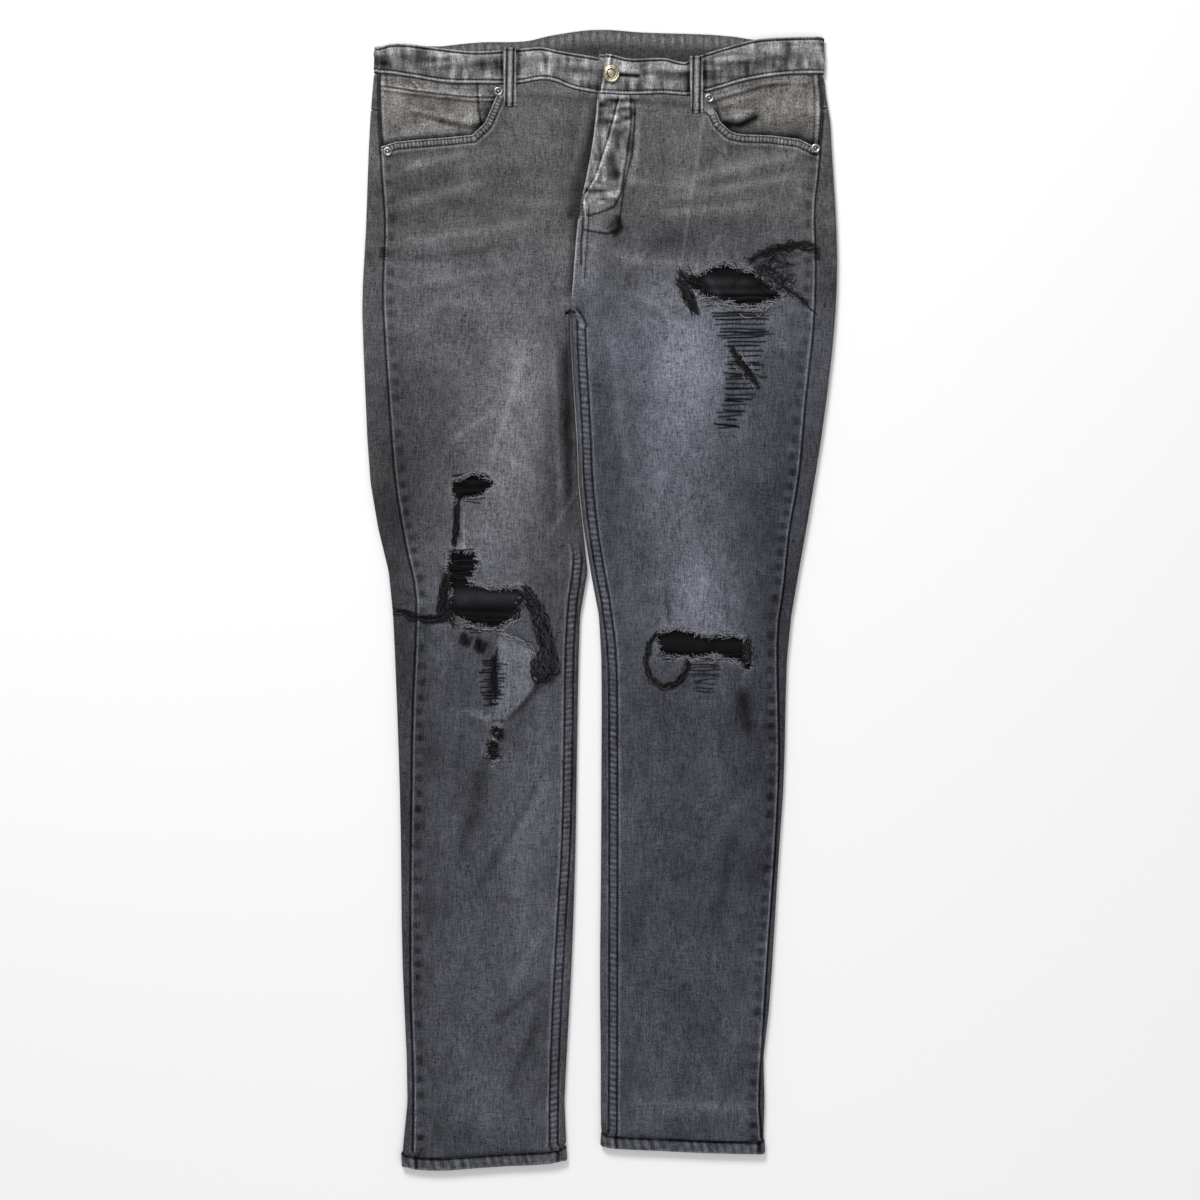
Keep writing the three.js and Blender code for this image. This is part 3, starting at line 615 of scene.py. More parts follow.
def band_points(line, reach, closed):
    """Rows of points on both sides of a line, as close together as its ridges need."""
    line = divided(line, BAND_RUN, closed)
    ahead = np.roll(line, -1, axis=0) - np.roll(line, 1, axis=0)
    if not closed:
        ahead[0], ahead[-1] = line[1] - line[0], line[-1] - line[-2]
    normal = np.column_stack([-ahead[:, 1], ahead[:, 0]]) / np.linalg.norm(ahead, axis=1)[:, None]
    offsets = np.arange(reach[0], reach[1] + 0.01, BAND_ACROSS)
    return (line[None] + normal[None] * offsets[:, None, None]).reshape(-1, 2)


def well_inside(points, outline, holes, gap):
    """The points inside an outline and outside its holes that keep a gap from both."""
    points = points[inside(points, outline)]
    for hole in holes:
        points = points[~inside(points, hole)]
    keep = np.ones(len(points), bool)
    for loop in (outline, *holes):
        keep &= np.abs(beside(points, loop, closed=True)[0]) > gap
    return points[keep]


print("points 2 mm apart in that square:", len(well_inside(grid_points(SQUARE, 2), SQUARE, [], 0.5)))


# %% A thin closed shell, and its cut
def shell(name, outline, holes, top, under, colour, material, dense, wide, bands=(), edge=1.6):
    """A closed thin shell over an outline. top, under and colour are functions of points."""
    rim = divided(outline, edge)
    cuts = [divided(h, RIP_STEP) for h in holes]
    fill = grid_points(outline, dense)
    close = []
    for line, reach, closed in bands:
        span = (min(reach) - 0.6, max(reach) + 0.6)
        side = beside(fill, line, closed)[0]
        fill = fill[(side < span[0]) | (side > span[1])]
        close.append(band_points(line, reach, closed))
    fill = well_inside(np.concatenate([fill, *close]), outline, holes, 0.5)
    flat, tri = triangulated(rim, cuts, fill)
    low_fill = well_inside(grid_points(outline, wide), outline, holes, 1.0)
    low_flat, low_tri = triangulated(rim, cuts, low_fill)
    verts = np.concatenate([np.column_stack([p, z(p)]) for p, z in ((flat, top), (low_flat, under))])
    where = {tuple(np.round(p, 4)): i + len(flat) for i, p in enumerate(low_flat)}
    edges = {(a, b) for t in tri.tolist() for a, b in zip(t, t[1:] + t[:1])}
    walls = []
    for a, b in edges:
        if (b, a) not in edges:
            c, d = where[tuple(np.round(flat[b], 4))], where[tuple(np.round(flat[a], 4))]
            walls.append((b, a, d, c))
    faces = [*tri.tolist(), *(low_tri[:, ::-1] + len(flat)).tolist(), *walls]
    colours = np.concatenate([colour(flat), colour(low_flat)])
    thing = new_object(name, verts, faces, material, colours)
    thing["flat_area"] = float(0.5 * np.abs(turn_of(*flat[tri.T])).sum())
    thing["cut"] = (outline.max(axis=0) - outline.min(axis=0)).tolist()
    print(name, len(faces), "faces,", round(thing["flat_area"] / 100), "cm2")
    return thing


def seam_line(side, kind):
    return LEGS[side][kind][:, ::-1]


def declare(thing, node):
    """Stands the finished cloth in for its solid: hangs it on the root body and hides the solid."""
    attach(thing, "root")
    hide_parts(node)


print("points down an outseam:", {side: len(seam_line(side, "outseam")) for side in SIDES})


# %% [markdown]
# ## Denim, thread and metal
# Washed denim is a twill of dark warp over pale weft, so close up it is a speckle of short upright
# streaks. The colour of each spot comes from a colour attribute that holds the washed dye together with
# painted shade and light; noise stretched along the warp breaks it up, and the same noise raises the
# yarns in the bump. Roughness is high, as cotton has no gloss, with a faint sheen for its fuzz.


# %% Noise for warp and weft
WARP, WEFT = (860, 105, 300), (110, 800, 300)  # cells of noise to a metre, along x, y and z
GRAIN, CLOUDS = (900, 640, 500), (70, 45, 60)
LEAST = 0.22  # share of the dye's lightness left in the darkest speck


def tree_of(name):
    material = bpy.data.materials.new(name)
    material.use_nodes = True
    nodes, links = material.node_tree.nodes, material.node_tree.links
    return material, nodes, links, nodes["Principled BSDF"]


def noise_at(nodes, links, scale, detail):
    """Noise on object coordinates, with a scale for each axis in cells per metre."""
    place = nodes.new("ShaderNodeTexCoord")
    stretch = nodes.new("ShaderNodeMapping")
    stretch.inputs["Scale"].default_value = scale
    noise = nodes.new("ShaderNodeTexNoise")
    noise.inputs["Scale"].default_value = 1.0
    noise.inputs["Detail"].default_value = detail
    noise.inputs["Roughness"].default_value = 0.55
    links.new(place.outputs["Object"], stretch.inputs["Vector"])
    links.new(stretch.outputs["Vector"], noise.inputs["Vector"])
    return noise.outputs["Fac"]


def maths(nodes, links, kind, a, b):
    node = nodes.new("ShaderNodeMath")
    node.operation = kind
    for socket, value in zip(node.inputs, (a, b)):
        if isinstance(value, (int, float)):
            socket.default_value = value
        else:
            links.new(value, socket)
    return node.outputs[0]


def weighted(nodes, links, fields):
    """1 plus the sum of each field, taken from its middle, times its weight."""
    total = 1.0
    for field, weight in fields:
        part = maths(nodes, links, "MULTIPLY_ADD", field, weight)
        part.node.inputs[2].default_value = -0.5 * weight
        total = maths(nodes, links, "ADD", total, part)
    return maths(nodes, links, "MAXIMUM", total, LEAST)


print("a streak of warp is", round(1000 / WARP[0], 1), "mm wide and", round(1000 / WARP[1], 1), "mm long")


# %% Woven cloth
def woven(name, colour=None, slub=1.8, speckle=1.9, cross=1.0, bump=0.8):
    """Cloth in the colour of its attribute of washed dye and painted shade, or in one colour, broken up
    along warp and weft.
    """
    material, nodes, links, shader = tree_of(name)
    warp = noise_at(nodes, links, WARP, 3.0)
    weft = noise_at(nodes, links, WEFT, 2.0)
    grain = noise_at(nodes, links, GRAIN, 1.0)
    clouds = noise_at(nodes, links, CLOUDS, 3.0)
    factor = weighted(nodes, links, [(warp, slub), (weft, cross), (grain, speckle), (clouds, 0.4)])
    if colour is None:
        base = nodes.new("ShaderNodeAttribute")
        base.attribute_name = "dye_and_painted_shade"
    else:
        base = nodes.new("ShaderNodeRGB")
        base.outputs[0].default_value = (*colour, 1)
    scaled = nodes.new("ShaderNodeVectorMath")
    scaled.operation = "SCALE"
    links.new(base.outputs["Color"], scaled.inputs[0])
    links.new(factor, scaled.inputs["Scale"])
    links.new(scaled.outputs["Vector"], shader.inputs["Base Color"])
    height = weighted(nodes, links, [(warp, 0.9), (weft, 0.5), (grain, 0.7)])
    raised = nodes.new("ShaderNodeBump")
    raised.inputs["Strength"].default_value = bump
    raised.inputs["Distance"].default_value = 0.0006
    links.new(height, raised.inputs["Height"])
    links.new(raised.outputs["Normal"], shader.inputs["Normal"])
    shader.inputs["Roughness"].default_value = 0.95
    shader.inputs["Specular IOR Level"].default_value = 0.06
    shader.inputs["Sheen Weight"].default_value = 0.02
    shader.inputs["Sheen Roughness"].default_value = 0.6
    return material


DENIM = woven("washed denim")
FACING = woven("pocket cloth", slub=1.3, speckle=2.6, cross=1.3)
BACKING = woven("charcoal backing", slub=0.6, speckle=0.9, cross=0.5, bump=0.4)
BLACK_THREAD = woven("black thread", (0.008, 0.008, 0.009), 0.3, 0.3, 0.3, 0.6)
PALE_YARN = woven("pale weft yarn", None, 0.25, 0.3, 0.25, 0.4)
WOVEN_FINISHES = (DENIM, FACING, BACKING, BLACK_THREAD, PALE_YARN)
print("cloths and threads:", [finish.name for finish in WOVEN_FINISHES])


# %% Worn metal
def metal(name, colour, dark, roughness):
    """Worn metal that clouds over from its colour to a dark stain."""
    material, nodes, links, shader = tree_of(name)
    stain = noise_at(nodes, links, (420, 420, 420), 4.0)
    ramp_node = nodes.new("ShaderNodeValToRGB")
    ramp_node.color_ramp.elements[0].position = 0.36
    ramp_node.color_ramp.elements[0].color = (*dark, 1)
    ramp_node.color_ramp.elements[1].position = 0.6
    ramp_node.color_ramp.elements[1].color = (*colour, 1)
    links.new(stain, ramp_node.inputs["Fac"])
    links.new(ramp_node.outputs["Color"], shader.inputs["Base Color"])
    raised = nodes.new("ShaderNodeBump")
    raised.inputs["Strength"].default_value = 0.25
    raised.inputs["Distance"].default_value = 0.0002
    links.new(stain, raised.inputs["Height"])
    links.new(raised.outputs["Normal"], shader.inputs["Normal"])
    shader.inputs["Metallic"].default_value = 1.0
    shader.inputs["Roughness"].default_value = roughness
    return material


BRASS = metal("antique brass", (0.66, 0.58, 0.42), (0.22, 0.18, 0.12), 0.36)
NICKEL = metal("worn nickel", (0.62, 0.61, 0.6), (0.2, 0.2, 0.2), 0.3)
print("materials:", len(bpy.data.materials))

# %% [markdown]
# ## The two front panels
# On a real pair each front is one flat cut: a straight outer seam, a curved crotch, and a scooped
# top corner for the pocket. A rip is where the warp has worn through, so its edge is ragged; the
# rim of the cut is shaken a little, sideways and unevenly.


# %% Rims of the rips
KNOT = 11  # how many steps ahead a rim is searched for a crossing


def uncrossed(loop):
    """The same rim without the small knots where it crosses itself."""
    loop = np.roll(loop, len(loop) // 3, axis=0)
    i = 0
    while i < len(loop) - 3:
        a, b, d = loop[i], loop[i + 1], loop[i + 3:i + 3 + KNOT]
        c = loop[i + 2:i + 2 + len(d)]
        apart = turn_of(a, b, c) * turn_of(a, b, d) <= 0
        hits = np.flatnonzero(apart & (turn_of(c, d, a) * turn_of(c, d, b) <= 0))
        if len(hits):
            loop = np.delete(loop, np.s_[i + 1:i + 3 + hits[-1]], axis=0)
        i += 1
    return loop


def torn(loop, seed):
    """A rim shaken sideways by up to half a millimetre or so."""
    loop = divided(loop, RIP_STEP)
    rng = np.random.default_rng(seed)
    ahead = np.roll(loop, -1, axis=0) - np.roll(loop, 1, axis=0)
    normal = np.column_stack([-ahead[:, 1], ahead[:, 0]]) / np.linalg.norm(ahead, axis=1)[:, None]
    rough = 0.4 * cloud(loop[:, 0], loop[:, 1], 3.0, seed) + rng.uniform(-0.25, 0.25, len(loop))
    return uncrossed(loop + normal * rough[:, None])


MOUTH_FOOT = 428  # a pocket mouth is the part of the outline above it and beyond MOUTH_START
MOUTH_START = {"left": 96, "right": 104.5}
FLY_MARKS = {"left": ("under_fly", fly_line, 1), "right": ("fly", fly_line, -1)}
PANELS = {}
for side, sign in SIDES.items():
    outline, *rips = rims(f"front_{side}", low=5.0)
    mouth = outline[(sign * outline[:, 0] > MOUTH_START[side]) & (outline[:, 1] > MOUTH_FOOT)]
    mouth = mouth[np.argsort(mouth[:, 0])]
    holes = [torn(loop, 40 + i) for i, loop in enumerate(rips)]
    marks = [("outseam", seam_line(side, "outseam"), sign), ("inseam", seam_line(side, "inseam"), -sign),
             ("mouth", mouth, -1), FLY_MARKS[side]]
    marks += [("torn", hole, 1) for hole in holes]
    PANELS[side] = {"outline": outline, "holes": holes, "marks": marks, "mouth": mouth}
    print(side, "mouth", len(mouth), "points,", len(holes), "rips")


# %% Lines drawn on the fronts
LINES = {  # stitched and worn lines drawn on a front, with painted shadows beside the fly, under the waistband and in the folds below it: points, half width, change in shade
    "left": [
        # painted shadow beside the fly's flap
        ([(-6, 452), (-11, 430), (-19, 402), (-28, 366)], 4.5, -24),
        ([(-101, -56), (-101, -76), (-104, -97)], 2.6, -42),
        ([(-97, -121), (-96, -128)], 4.4, -76),
        ([(-100, -135), (-101, -148)], 5.6, -78),
        ([(-128, -33), (-127.5, -41)], 2.4, -56),
        ([(-115.5, -38), (-114, -47)], 2.4, -56),
        ([(-135, 92), (-136, 72), (-138, 52)], 1.6, -36),
        ([(-130, 84), (-128, 68), (-129, 50)], 1.2, 34),
        ([(-150, 28), (-146, 8), (-150, -12)], 3.0, -34),
        ([(-14, 470), (-20, 430), (-32, 396)], 2.2, 12),
        # painted shadow under the waistband
        ([(-88, 479), (-50, 478), (-12, 474)], 2.6, -14),
    ],
    "right": [
        ([(19.2, 475), (9.7, 438), (-3.3, 400), (-13.7, 383), (-17.5, 360)], 1.0, 62),
        ([(17, 475), (7.5, 438), (-5.5, 400), (-16, 383), (-20, 362)], 0.9, -62),
        ([(29, 478), (29.5, 450), (25, 417), (20.3, 386), (13.2, 372), (-2.2, 366), (-12, 364)], 0.9, -62),
        ([(33, 470), (32.6, 450), (30.4, 422), (24, 398), (20.5, 374), (18, 356)], 0.9, -50),
        ([(36, 468), (36, 450), (33.5, 420), (27, 394)], 1.8, 20),
        ([(26.5, 476), (27, 450), (22, 417), (17.5, 388), (11, 375.5), (-3, 369)], 1.2, 22),
        ([(-16.4, 374), (-16.4, 350), (-18, 337), (-17.5, 318)], 1.0, -62),
        ([(-10.5, 372), (-11, 352), (-12.5, 330), (-15, 306)], 0.8, -30),
        ([(-13.6, 372), (-13.8, 350), (-15.3, 335), (-16.5, 300)], 1.0, 26),
        ([(-14, 350), (7, 346.6), (16.7, 351)], 1.0, -58),
        ([(-12, 353), (7, 350), (14, 353)], 0.9, 18),
        # painted shadow under the waistband
        ([(0, 474), (16, 473), (32, 474)], 3.2, -40),
        ([(32, 473), (84, 469)], 3.0, -18),
        ([(124, 239), (136, 222), (151, 201)], 2.0, -58),
        ([(128, 268), (127, 222), (122, 172)], 9.0, -15),
        ([(78, 310), (90, 299)], 3.6, -46),
        ([(35, 466), (44, 462), (54, 464)], 1.6, -22),
        ([(16, 362), (20, 352), (14, 346)], 3.2, -48),
        ([(-8, 392), (4, 386), (14, 388)], 2.0, -34),
        ([(-10, 380), (0, 377), (12, 380)], 1.8, 30),
        ([(-14, 389), (-4, 385)], 1.5, -44),
        ([(-4, 377), (8, 381), (14, 379)], 1.5, -40),
        # folds under the waistband: painted shade in their hollows and painted light on the crest between
        ([(2, 469), (14, 463), (27, 466)], 2.4, -44),
        ([(3, 461), (14, 457.5), (27, 460)], 1.5, 26),
        ([(3, 455), (14, 452), (27, 455)], 1.6, -32),
        ([(35.5, 444), (35, 420), (31, 395)], 2.0, 22),
        ([(86, 404), (77, 315)], 1.0, 5),
        ([(-20.5, 259), (-23, 266), (-27.5, 273)], 1.0, -56),
        ([(-12.6, 259), (-16, 268), (-21, 275)], 1.0, -56),
        ([(-20, 261), (-15.5, 259.5)], 1.2, 34),
        ([(-21.5, 266), (-17, 264)], 1.2, 34),
        ([(-24, 271), (-19.5, 269.5)], 1.2, 34),
    ],
}


def drawn(points, lines):
    value = np.zeros(len(points))
    for line, half, change in lines:
        away, _ = beside(points, np.array(line, float))
        value += change * bell(away / half)
    return value


def extra_marks(points, side):
    """Drawn lines, and the pale and dark puckers in the topstitched flap of the fly."""
    value = drawn(points, LINES[side])
    if side == "right":
        x, y = points.T
        flap = x - at_split(y)
        within = ramp(flap, 1, 4) * ramp(flap, 44, 30) * ramp(y, 366, 382)
        ends = ramp(y, 444, 456) + ramp(y, 402, 390)
        value += within * ends * 84 * cloud(x, y, 12, 35, 0.34)
        value += within * (1 - ends) * 58 * cloud(x, y, 4.2, 37, 3.2)
        value += within * (26 * cloud(x, y, 3.2, 36, 1.2) + 8)
    return value


print("lines drawn:", {side: len(LINES[side]) for side in SIDES})


# %% Fronts
FINE_LINE = 1.3  # half width below which a drawn line gets close points of its own


def front_top(points, side):
    return form(*points.T) + seam_marks(points, PANELS[side]["marks"])[0]


# colour of a front: washed dye, with the painted shade and light from the creases, the fly and the drawn
# lines
def front_dye_and_painted_shade(points, side):
    value = shade(*points.T) + seam_marks(points, PANELS[side]["marks"])[1]
    value = value + extra_marks(points, side)
    return dye_and_painted_shade(value, blue(*points.T))


for side in SIDES:
    panel = PANELS[side]
    bands = []
    for kind, line, sign in panel["marks"]:
        reach = (-4.0, 4.0) if kind == "torn" else tuple(sorted(sign * r for r in MARKS[kind][1]))
        bands.append((line, reach, kind == "torn"))
    if side == "right":
        bands += [(np.array(line, float), (-1.8, 1.8), False)
                  for line, half, _ in LINES[side] if half < FINE_LINE]
    thing = shell(
        f"denim_front_{side}", panel["outline"], panel["holes"],
        lambda p: front_top(p, side), lambda p: front_top(p, side) - CLOTH,
        lambda p: front_dye_and_painted_shade(p, side), DENIM, 2.7, 9.0, bands,
    )
    declare(thing, f"front_{side}")

# %% [markdown]
# ## Backs and yokes
# The back panels are wider than the fronts: each wraps round the side fold and, below the crotch,
# round the inner fold, and shows as a strip beside every seam. So a back is lofted from C-shaped
# sections, station by station up the leg. Above the crotch the inner wrap shrinks into the edge
# that meets the other back.

# %% Places along a section, and the back's wear
STRIP = np.array([0, 0.6, 1.2, 1.9, 2.8, 4.2, 6.5, 9.5, 13]) / 13  # close together by the seam
ARC = np.linspace(0, 1, 9)[1:]
UNDERSIDE = np.linspace(0, 1, 30)[1:]
# Places along a section: strip beside the outseam, fold, underside, inner fold, strip by the inseam.
PATH = np.concatenate([STRIP, 1 + ARC, 2 + UNDERSIDE, 3 + ARC, 4 + (1 - STRIP[::-1])[1:]])
BACK_SHADES = [
    ((-95, 300), (62, 90), 0, 22), ((95, 300), (62, 90), 0, 24), ((-110, -20), (50, 90), 0, 14),
    ((95, -20), (48, 90), 0, 14), ((-112, -500), (70, 16), 0, 14), ((80, -490), (70, 16), 0, 14),
    ((-30, 250), (16, 70), 0, -16), ((-20, 200), (12, 90), 0, -14),
]
BACK_STREAKS = [
    ((-30, 262), (-130, 238), 6, 14), ((-30, 250), (-110, 210), 6, -9), ((-26, 262), (90, 236), 6, 14),
    ((-24, 250), (80, 208), 6, -9), ((-180, 30), (-60, 8), 8, 12), ((-170, 4), (-60, -26), 8, -9),
    ((20, 24), (150, 6), 8, 12), ((20, -4), (150, -26), 8, -9), ((-60, -160), (-150, -230), 9, 8),
]


def back_shade(x, y):
    value = 72 + 16 * ramp(y, 60, 330)
    for centre, size, turn, change in BACK_SHADES:
        value = value + change * patch(x, y, centre, size, turn)
    for a, b, half, change in BACK_STREAKS:
        value = value + change * streak(x, y, a, b, half)
    return value + 4.5 * cloud(x, y, 26, 21, 1.6) + 3.5 * cloud(x, y, 9, 22, 1.8)


UNDERNEATH = {name: outline_under(name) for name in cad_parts
              if name.startswith(("back_pocket", "belt_loop_back"))}
ON_BACK = (1.25, 0.1)  # upper and lower face of those patches and loops


def under_form(points):
    """How far the back cloth stands off the table, over its pockets and loops."""
    rise = 0.25 + 0.25 * cloud(*points.T, 30, 31)
    for loop in UNDERNEATH.values():
        away, _ = beside(points, loop, closed=True)
        depth = np.where(inside(points, loop), 99.0, -np.abs(away))
        rise = np.maximum(rise, 1.55 * ramp(depth, -5, 0))
    return rise


print(len(PATH), "places round a section;", len(UNDERNEATH), "pieces lie under the backs")


# %% C-shaped sections
SEAM_GAP = 0.15


def side_section(side, y, wall):
    """Outer (wall=0) or inner (wall=1) x and z of the wrapped cloth, for each place on PATH."""
    d = -SIDES[side]
    path = np.broadcast_to(PATH, y.shape)
    strip, arc, floor, in_arc, in_strip = (np.clip(path - k, 0, 1) for k in range(5))
    fold, seam = at(LEGS[side]["fold"], y), at(LEGS[side]["outseam"], y)
    inner = np.where(y < FLY_FOOT, at(LEGS[side]["inner"], y), at(LEGS[side]["centre"], y))
    inseam = at(LEGS[side]["inseam"], y)
    wrapped = y < CROTCH
    radius, in_radius = form(seam, y) / 2, form(inseam, y) / 2
    thin = CLOTH * wall
    start, stop = fold + d * radius, np.where(wrapped, inner - d * in_radius, inner - d * 9)
    angle, in_angle = math.pi * (0.5 + arc), math.pi * (1.5 + in_arc)
    strip_x = seam + d * SEAM_GAP + (start - seam) * strip
    in_strip_x = inner - d * in_radius + (inseam - d * SEAM_GAP - inner + d * in_radius) * in_strip
    x = [strip_x,
         start + d * (radius - thin) * np.cos(angle),
         start + (stop - start) * floor,
         np.where(wrapped, inner - d * in_radius - d * (in_radius - thin) * -np.cos(in_angle),
                  inner - d * (9 - 6 * in_arc)),
         np.where(wrapped, in_strip_x, inner - d * (3 - 2.8 * in_strip))]
    z = [form(strip_x, y) * (1 - strip) + 2 * radius * strip - thin,
         radius + (radius - thin) * np.sin(angle),
         thin,
         np.where(wrapped, in_radius + (in_radius - thin) * np.sin(in_angle), thin),
         np.where(wrapped, form(in_strip_x, y) * in_strip + 2 * in_radius * (1 - in_strip) - thin, thin)]
    upto = [path <= k for k in (1, 2, 3, 4)]
    return np.select(upto, x[:4], x[4]), np.select(upto, z[:4], z[4])


print("a back lies against the front seams with a gap of", SEAM_GAP, "mm")

# %% Edges of the backs and yokes
MIDDLE = {"left": -110, "right": 100}  # x near the middle of each leg
INNER_SHADE = 96.0  # of the cloth's inner face


def edge_lines(part, side):
    """Low and high edge of a wrapped panel as functions of x, held level past the ends of its seams."""
    hem = widths(f"hem_{side}", np.arange(-180, 149, 3.0), across=1)
    hem = hem[(hem[:, 0] < -44) | (hem[:, 0] > 12)]
    join = widths(f"back_{side}", np.arange(-216, 216, 3.0), across=1)
    join = join[join[:, 2] > 400]
    top = widths(f"yoke_{side}", np.arange(-211, 212, 3.0), across=1)
    join = join[(join[:, 0] < -8) if side == "left" else (join[:, 0] > -2)]
    top = top[(top[:, 0] < -8) if side == "left" else (top[:, 0] > -2)]
    (low, gap), high = ((hem, -0.1), join) if part == "back" else ((join, 0.5), top)
    return (lambda x: np.interp(x, low[:, 0], low[:, 2] + gap),
            lambda x: np.interp(x, high[:, 0], high[:, 2]))


print("middle of each leg at x", MIDDLE)


# %% Walls of a lofted sheet
def quad_area(grid):
    a, b, c, d = grid[:-1, :-1], grid[1:, :-1], grid[1:, 1:], grid[:-1, 1:]
    return 0.5 * np.linalg.norm(np.cross(c - a, d - b), axis=-1).sum()


def grid_shell(index, offset, closed):
    """Faces of a thin shell whose outer and inner walls share one grid of vertices."""
    rows, columns = index.shape
    faces = []
    across = columns if closed else columns - 1
    for r in range(rows - 1):
        for c in range(across):
            a, b = index[r, c], index[r, (c + 1) % columns]
            d, e = index[r + 1, c], index[r + 1, (c + 1) % columns]
            faces.append((a, d, e, b))
            faces.append((b + offset, e + offset, d + offset, a + offset))
    for c in range(across):
        a, b = index[0, c], index[0, (c + 1) % columns]
        faces.append((a, b, b + offset, a + offset))
        a, b = index[-1, c], index[-1, (c + 1) % columns]
        faces.append((b, a, a + offset, b + offset))
    if not closed:
        for r in range(rows - 1):
            a, d = index[r, 0], index[r + 1, 0]
            faces.append((d, a, a + offset, d + offset))
            a, d = index[r, -1], index[r + 1, -1]
            faces.append((a, d, d + offset, a + offset))
    return faces


TRIAL_GRID = np.arange(12).reshape(3, 4)  # to try the walls on
print("a strip of 3 by 4 points closes with", len(grid_shell(TRIAL_GRID, 12, False)), "faces")


# %% Backs and yokes
def wrapped_panel(name, part, side, step):
    """A thin shell lofted from sections, with its edges on the seams above and below."""
    low, high = edge_lines(part, side)
    centre = MIDDLE[side]
    count = max(6, round((high(centre) - low(centre)) / step))
    t = np.linspace(0, 1, count + 1)[:, None] * np.ones((1, len(PATH)))
    grids = []
    for wall in (0, 1):
        y = low(centre) + (high(centre) - low(centre)) * t
        for _ in range(4):
            x, z = side_section(side, y, wall)
            y = (low(x) + 0.3) * (1 - t) + (high(x) - 0.3) * t
        grids.append(np.stack([x, y, z], axis=-1))
    outer, inner = grids
    rows, columns = t.shape
    flat = outer.reshape(-1, 3)
    points = flat[:, :2]
    upper = (np.tile(PATH, rows) < 1.35) | (np.tile(PATH, rows) > 3.65)
    upper &= flat[:, 2] > 2.5
    marks = [("outseam", seam_line(side, "outseam"), SIDES[side]),
             ("inseam", seam_line(side, "inseam"), -SIDES[side])]
    lift, change = seam_marks(points, marks)
    value = np.where(upper, shade(*points.T) + change, back_shade(*points.T))
    edge = np.minimum(points[:, 1] - low(points[:, 0]), high(points[:, 0]) - points[:, 1])
    puckers = 0.6 + 0.4 * np.sin(points[:, 0] / 1.1)
    value = value + 14 * bell((edge - 1.5) / 1.2) - 16 * bell((edge - 6) / 2.2) * puckers
    rise = under_form(points)
    flat[:, 2] += np.where(upper, lift, 0)
    below = flat[:, 2] < 1.0
    flat[:, 2] += np.where(below, rise, 0)
    under = inner.reshape(-1, 3)
    under[:, 2] += np.where(upper, lift, 0) + np.where(under[:, 2] < 2.0, np.where(below, rise, 0), 0)
    lining = dye_and_painted_shade(np.full(len(points), INNER_SHADE), np.zeros(len(points)))
    colours = np.concatenate([dye_and_painted_shade(value, blue(*points.T) * 0.8), lining])
    verts = np.concatenate([flat, under])
    index = np.arange(rows * columns).reshape(rows, columns)
    faces = grid_shell(index, rows * columns, closed=False)
    if side == "right":
        faces = [f[::-1] for f in faces]
    thing = new_object(name, verts, faces, DENIM, colours)
    thing["flat_area"] = float(quad_area(outer))
    rounds = np.linalg.norm(np.diff(outer[:, :, [0, 2]], axis=1), axis=2).sum(axis=1)
    thing["cut"] = [float(np.percentile(rounds, 90)), float(np.ptp(outer[:, 30, 1]))]
    cut = [round(v) for v in thing["cut"]]
    print(name, len(faces), "faces, cut", cut, round(thing["flat_area"] / 100), "cm2")
    return thing


for side in SIDES:
    for part, step in (("back", 2.6), ("yoke", 2.2)):
        thing = wrapped_panel(f"denim_{part}_{side}", part, side, step)
        declare(thing, f"{part}_{side}")

# %% [markdown]
# ## Waistband and hems
# The waistband is a straight strip folded over the top of the panels, and a hem is the leg's own
# cloth turned up twice. Both go right round, so each is a ribbon: columns run round the garment,
# rows run across the band. Where thick cloth is topstitched and washed it draws up between the
# stitches, which leaves slanting pale ribs, the roping of a hem.

# %% Ribbons
TURNED_SHADE = 76.0  # of the turned-in face of a hem or the waistband


def ribbon(name, columns, rows, thickness, closed, marks):
    """columns holds x, z and the low and high y of the outer wall, and the direction into the cloth."""
    x, z, low, high, nx, nz, run = (np.array(c) for c in zip(*columns))
    v = np.array(rows)[:, None]
    y = low + (high - low) * v
    span = high - low
    wide_x, wide_run, wide_z = (np.broadcast_to(one, y.shape) for one in (x, run, z))
    lift, value = marks(wide_x, y, v * span, (1 - v) * span, wide_run, wide_z)
    rounding = 0.5 * np.minimum(thickness, 1.6) * (bell(v * span / 0.7) + bell((1 - v) * span / 0.7))
    out = lift - rounding
    depth = thickness - 0.5 * rounding
    outer = np.stack([x - nx * out, y, np.maximum(z - nz * out, 0.02)], axis=-1)
    inner = np.stack([x + nx * depth, y, z + nz * depth], axis=-1)
    count = outer.shape[0] * outer.shape[1]
    points = outer.reshape(-1, 3)[:, :2]
    colours = dye_and_painted_shade(np.ravel(value), blue(*points.T))
    ribs = np.broadcast_to(0.5 + 0.5 * np.cos(2 * np.pi * run / 8.2 + np.sin(run / 23)), y.shape)
    from_top = (1 - v) * span
    # darker away from the top edge: painted shade, as where the band's inner face runs under its front
    turned_in = TURNED_SHADE + 42 * ribs * bell((from_top - 6) / 5) - 16 * ramp(from_top, 11, 18)
    colours = np.concatenate([colours, dye_and_painted_shade(np.ravel(turned_in), np.zeros(count))])
    verts = np.concatenate([outer.reshape(-1, 3), inner.reshape(-1, 3)])
    index = np.arange(count).reshape(outer.shape[:2])
    faces = [f[::-1] for f in grid_shell(index, count, closed)]
    thing = new_object(name, verts, faces, DENIM, colours)
    thing["flat_area"] = float(quad_area(outer))
    thing["cut"] = [float(run[-1] - run[0]), float(np.median(span))]
    print(name, len(faces), "faces, cut", [round(c) for c in thing["cut"]])
    return thing


FOLD_STEPS = 8  # columns round each side fold


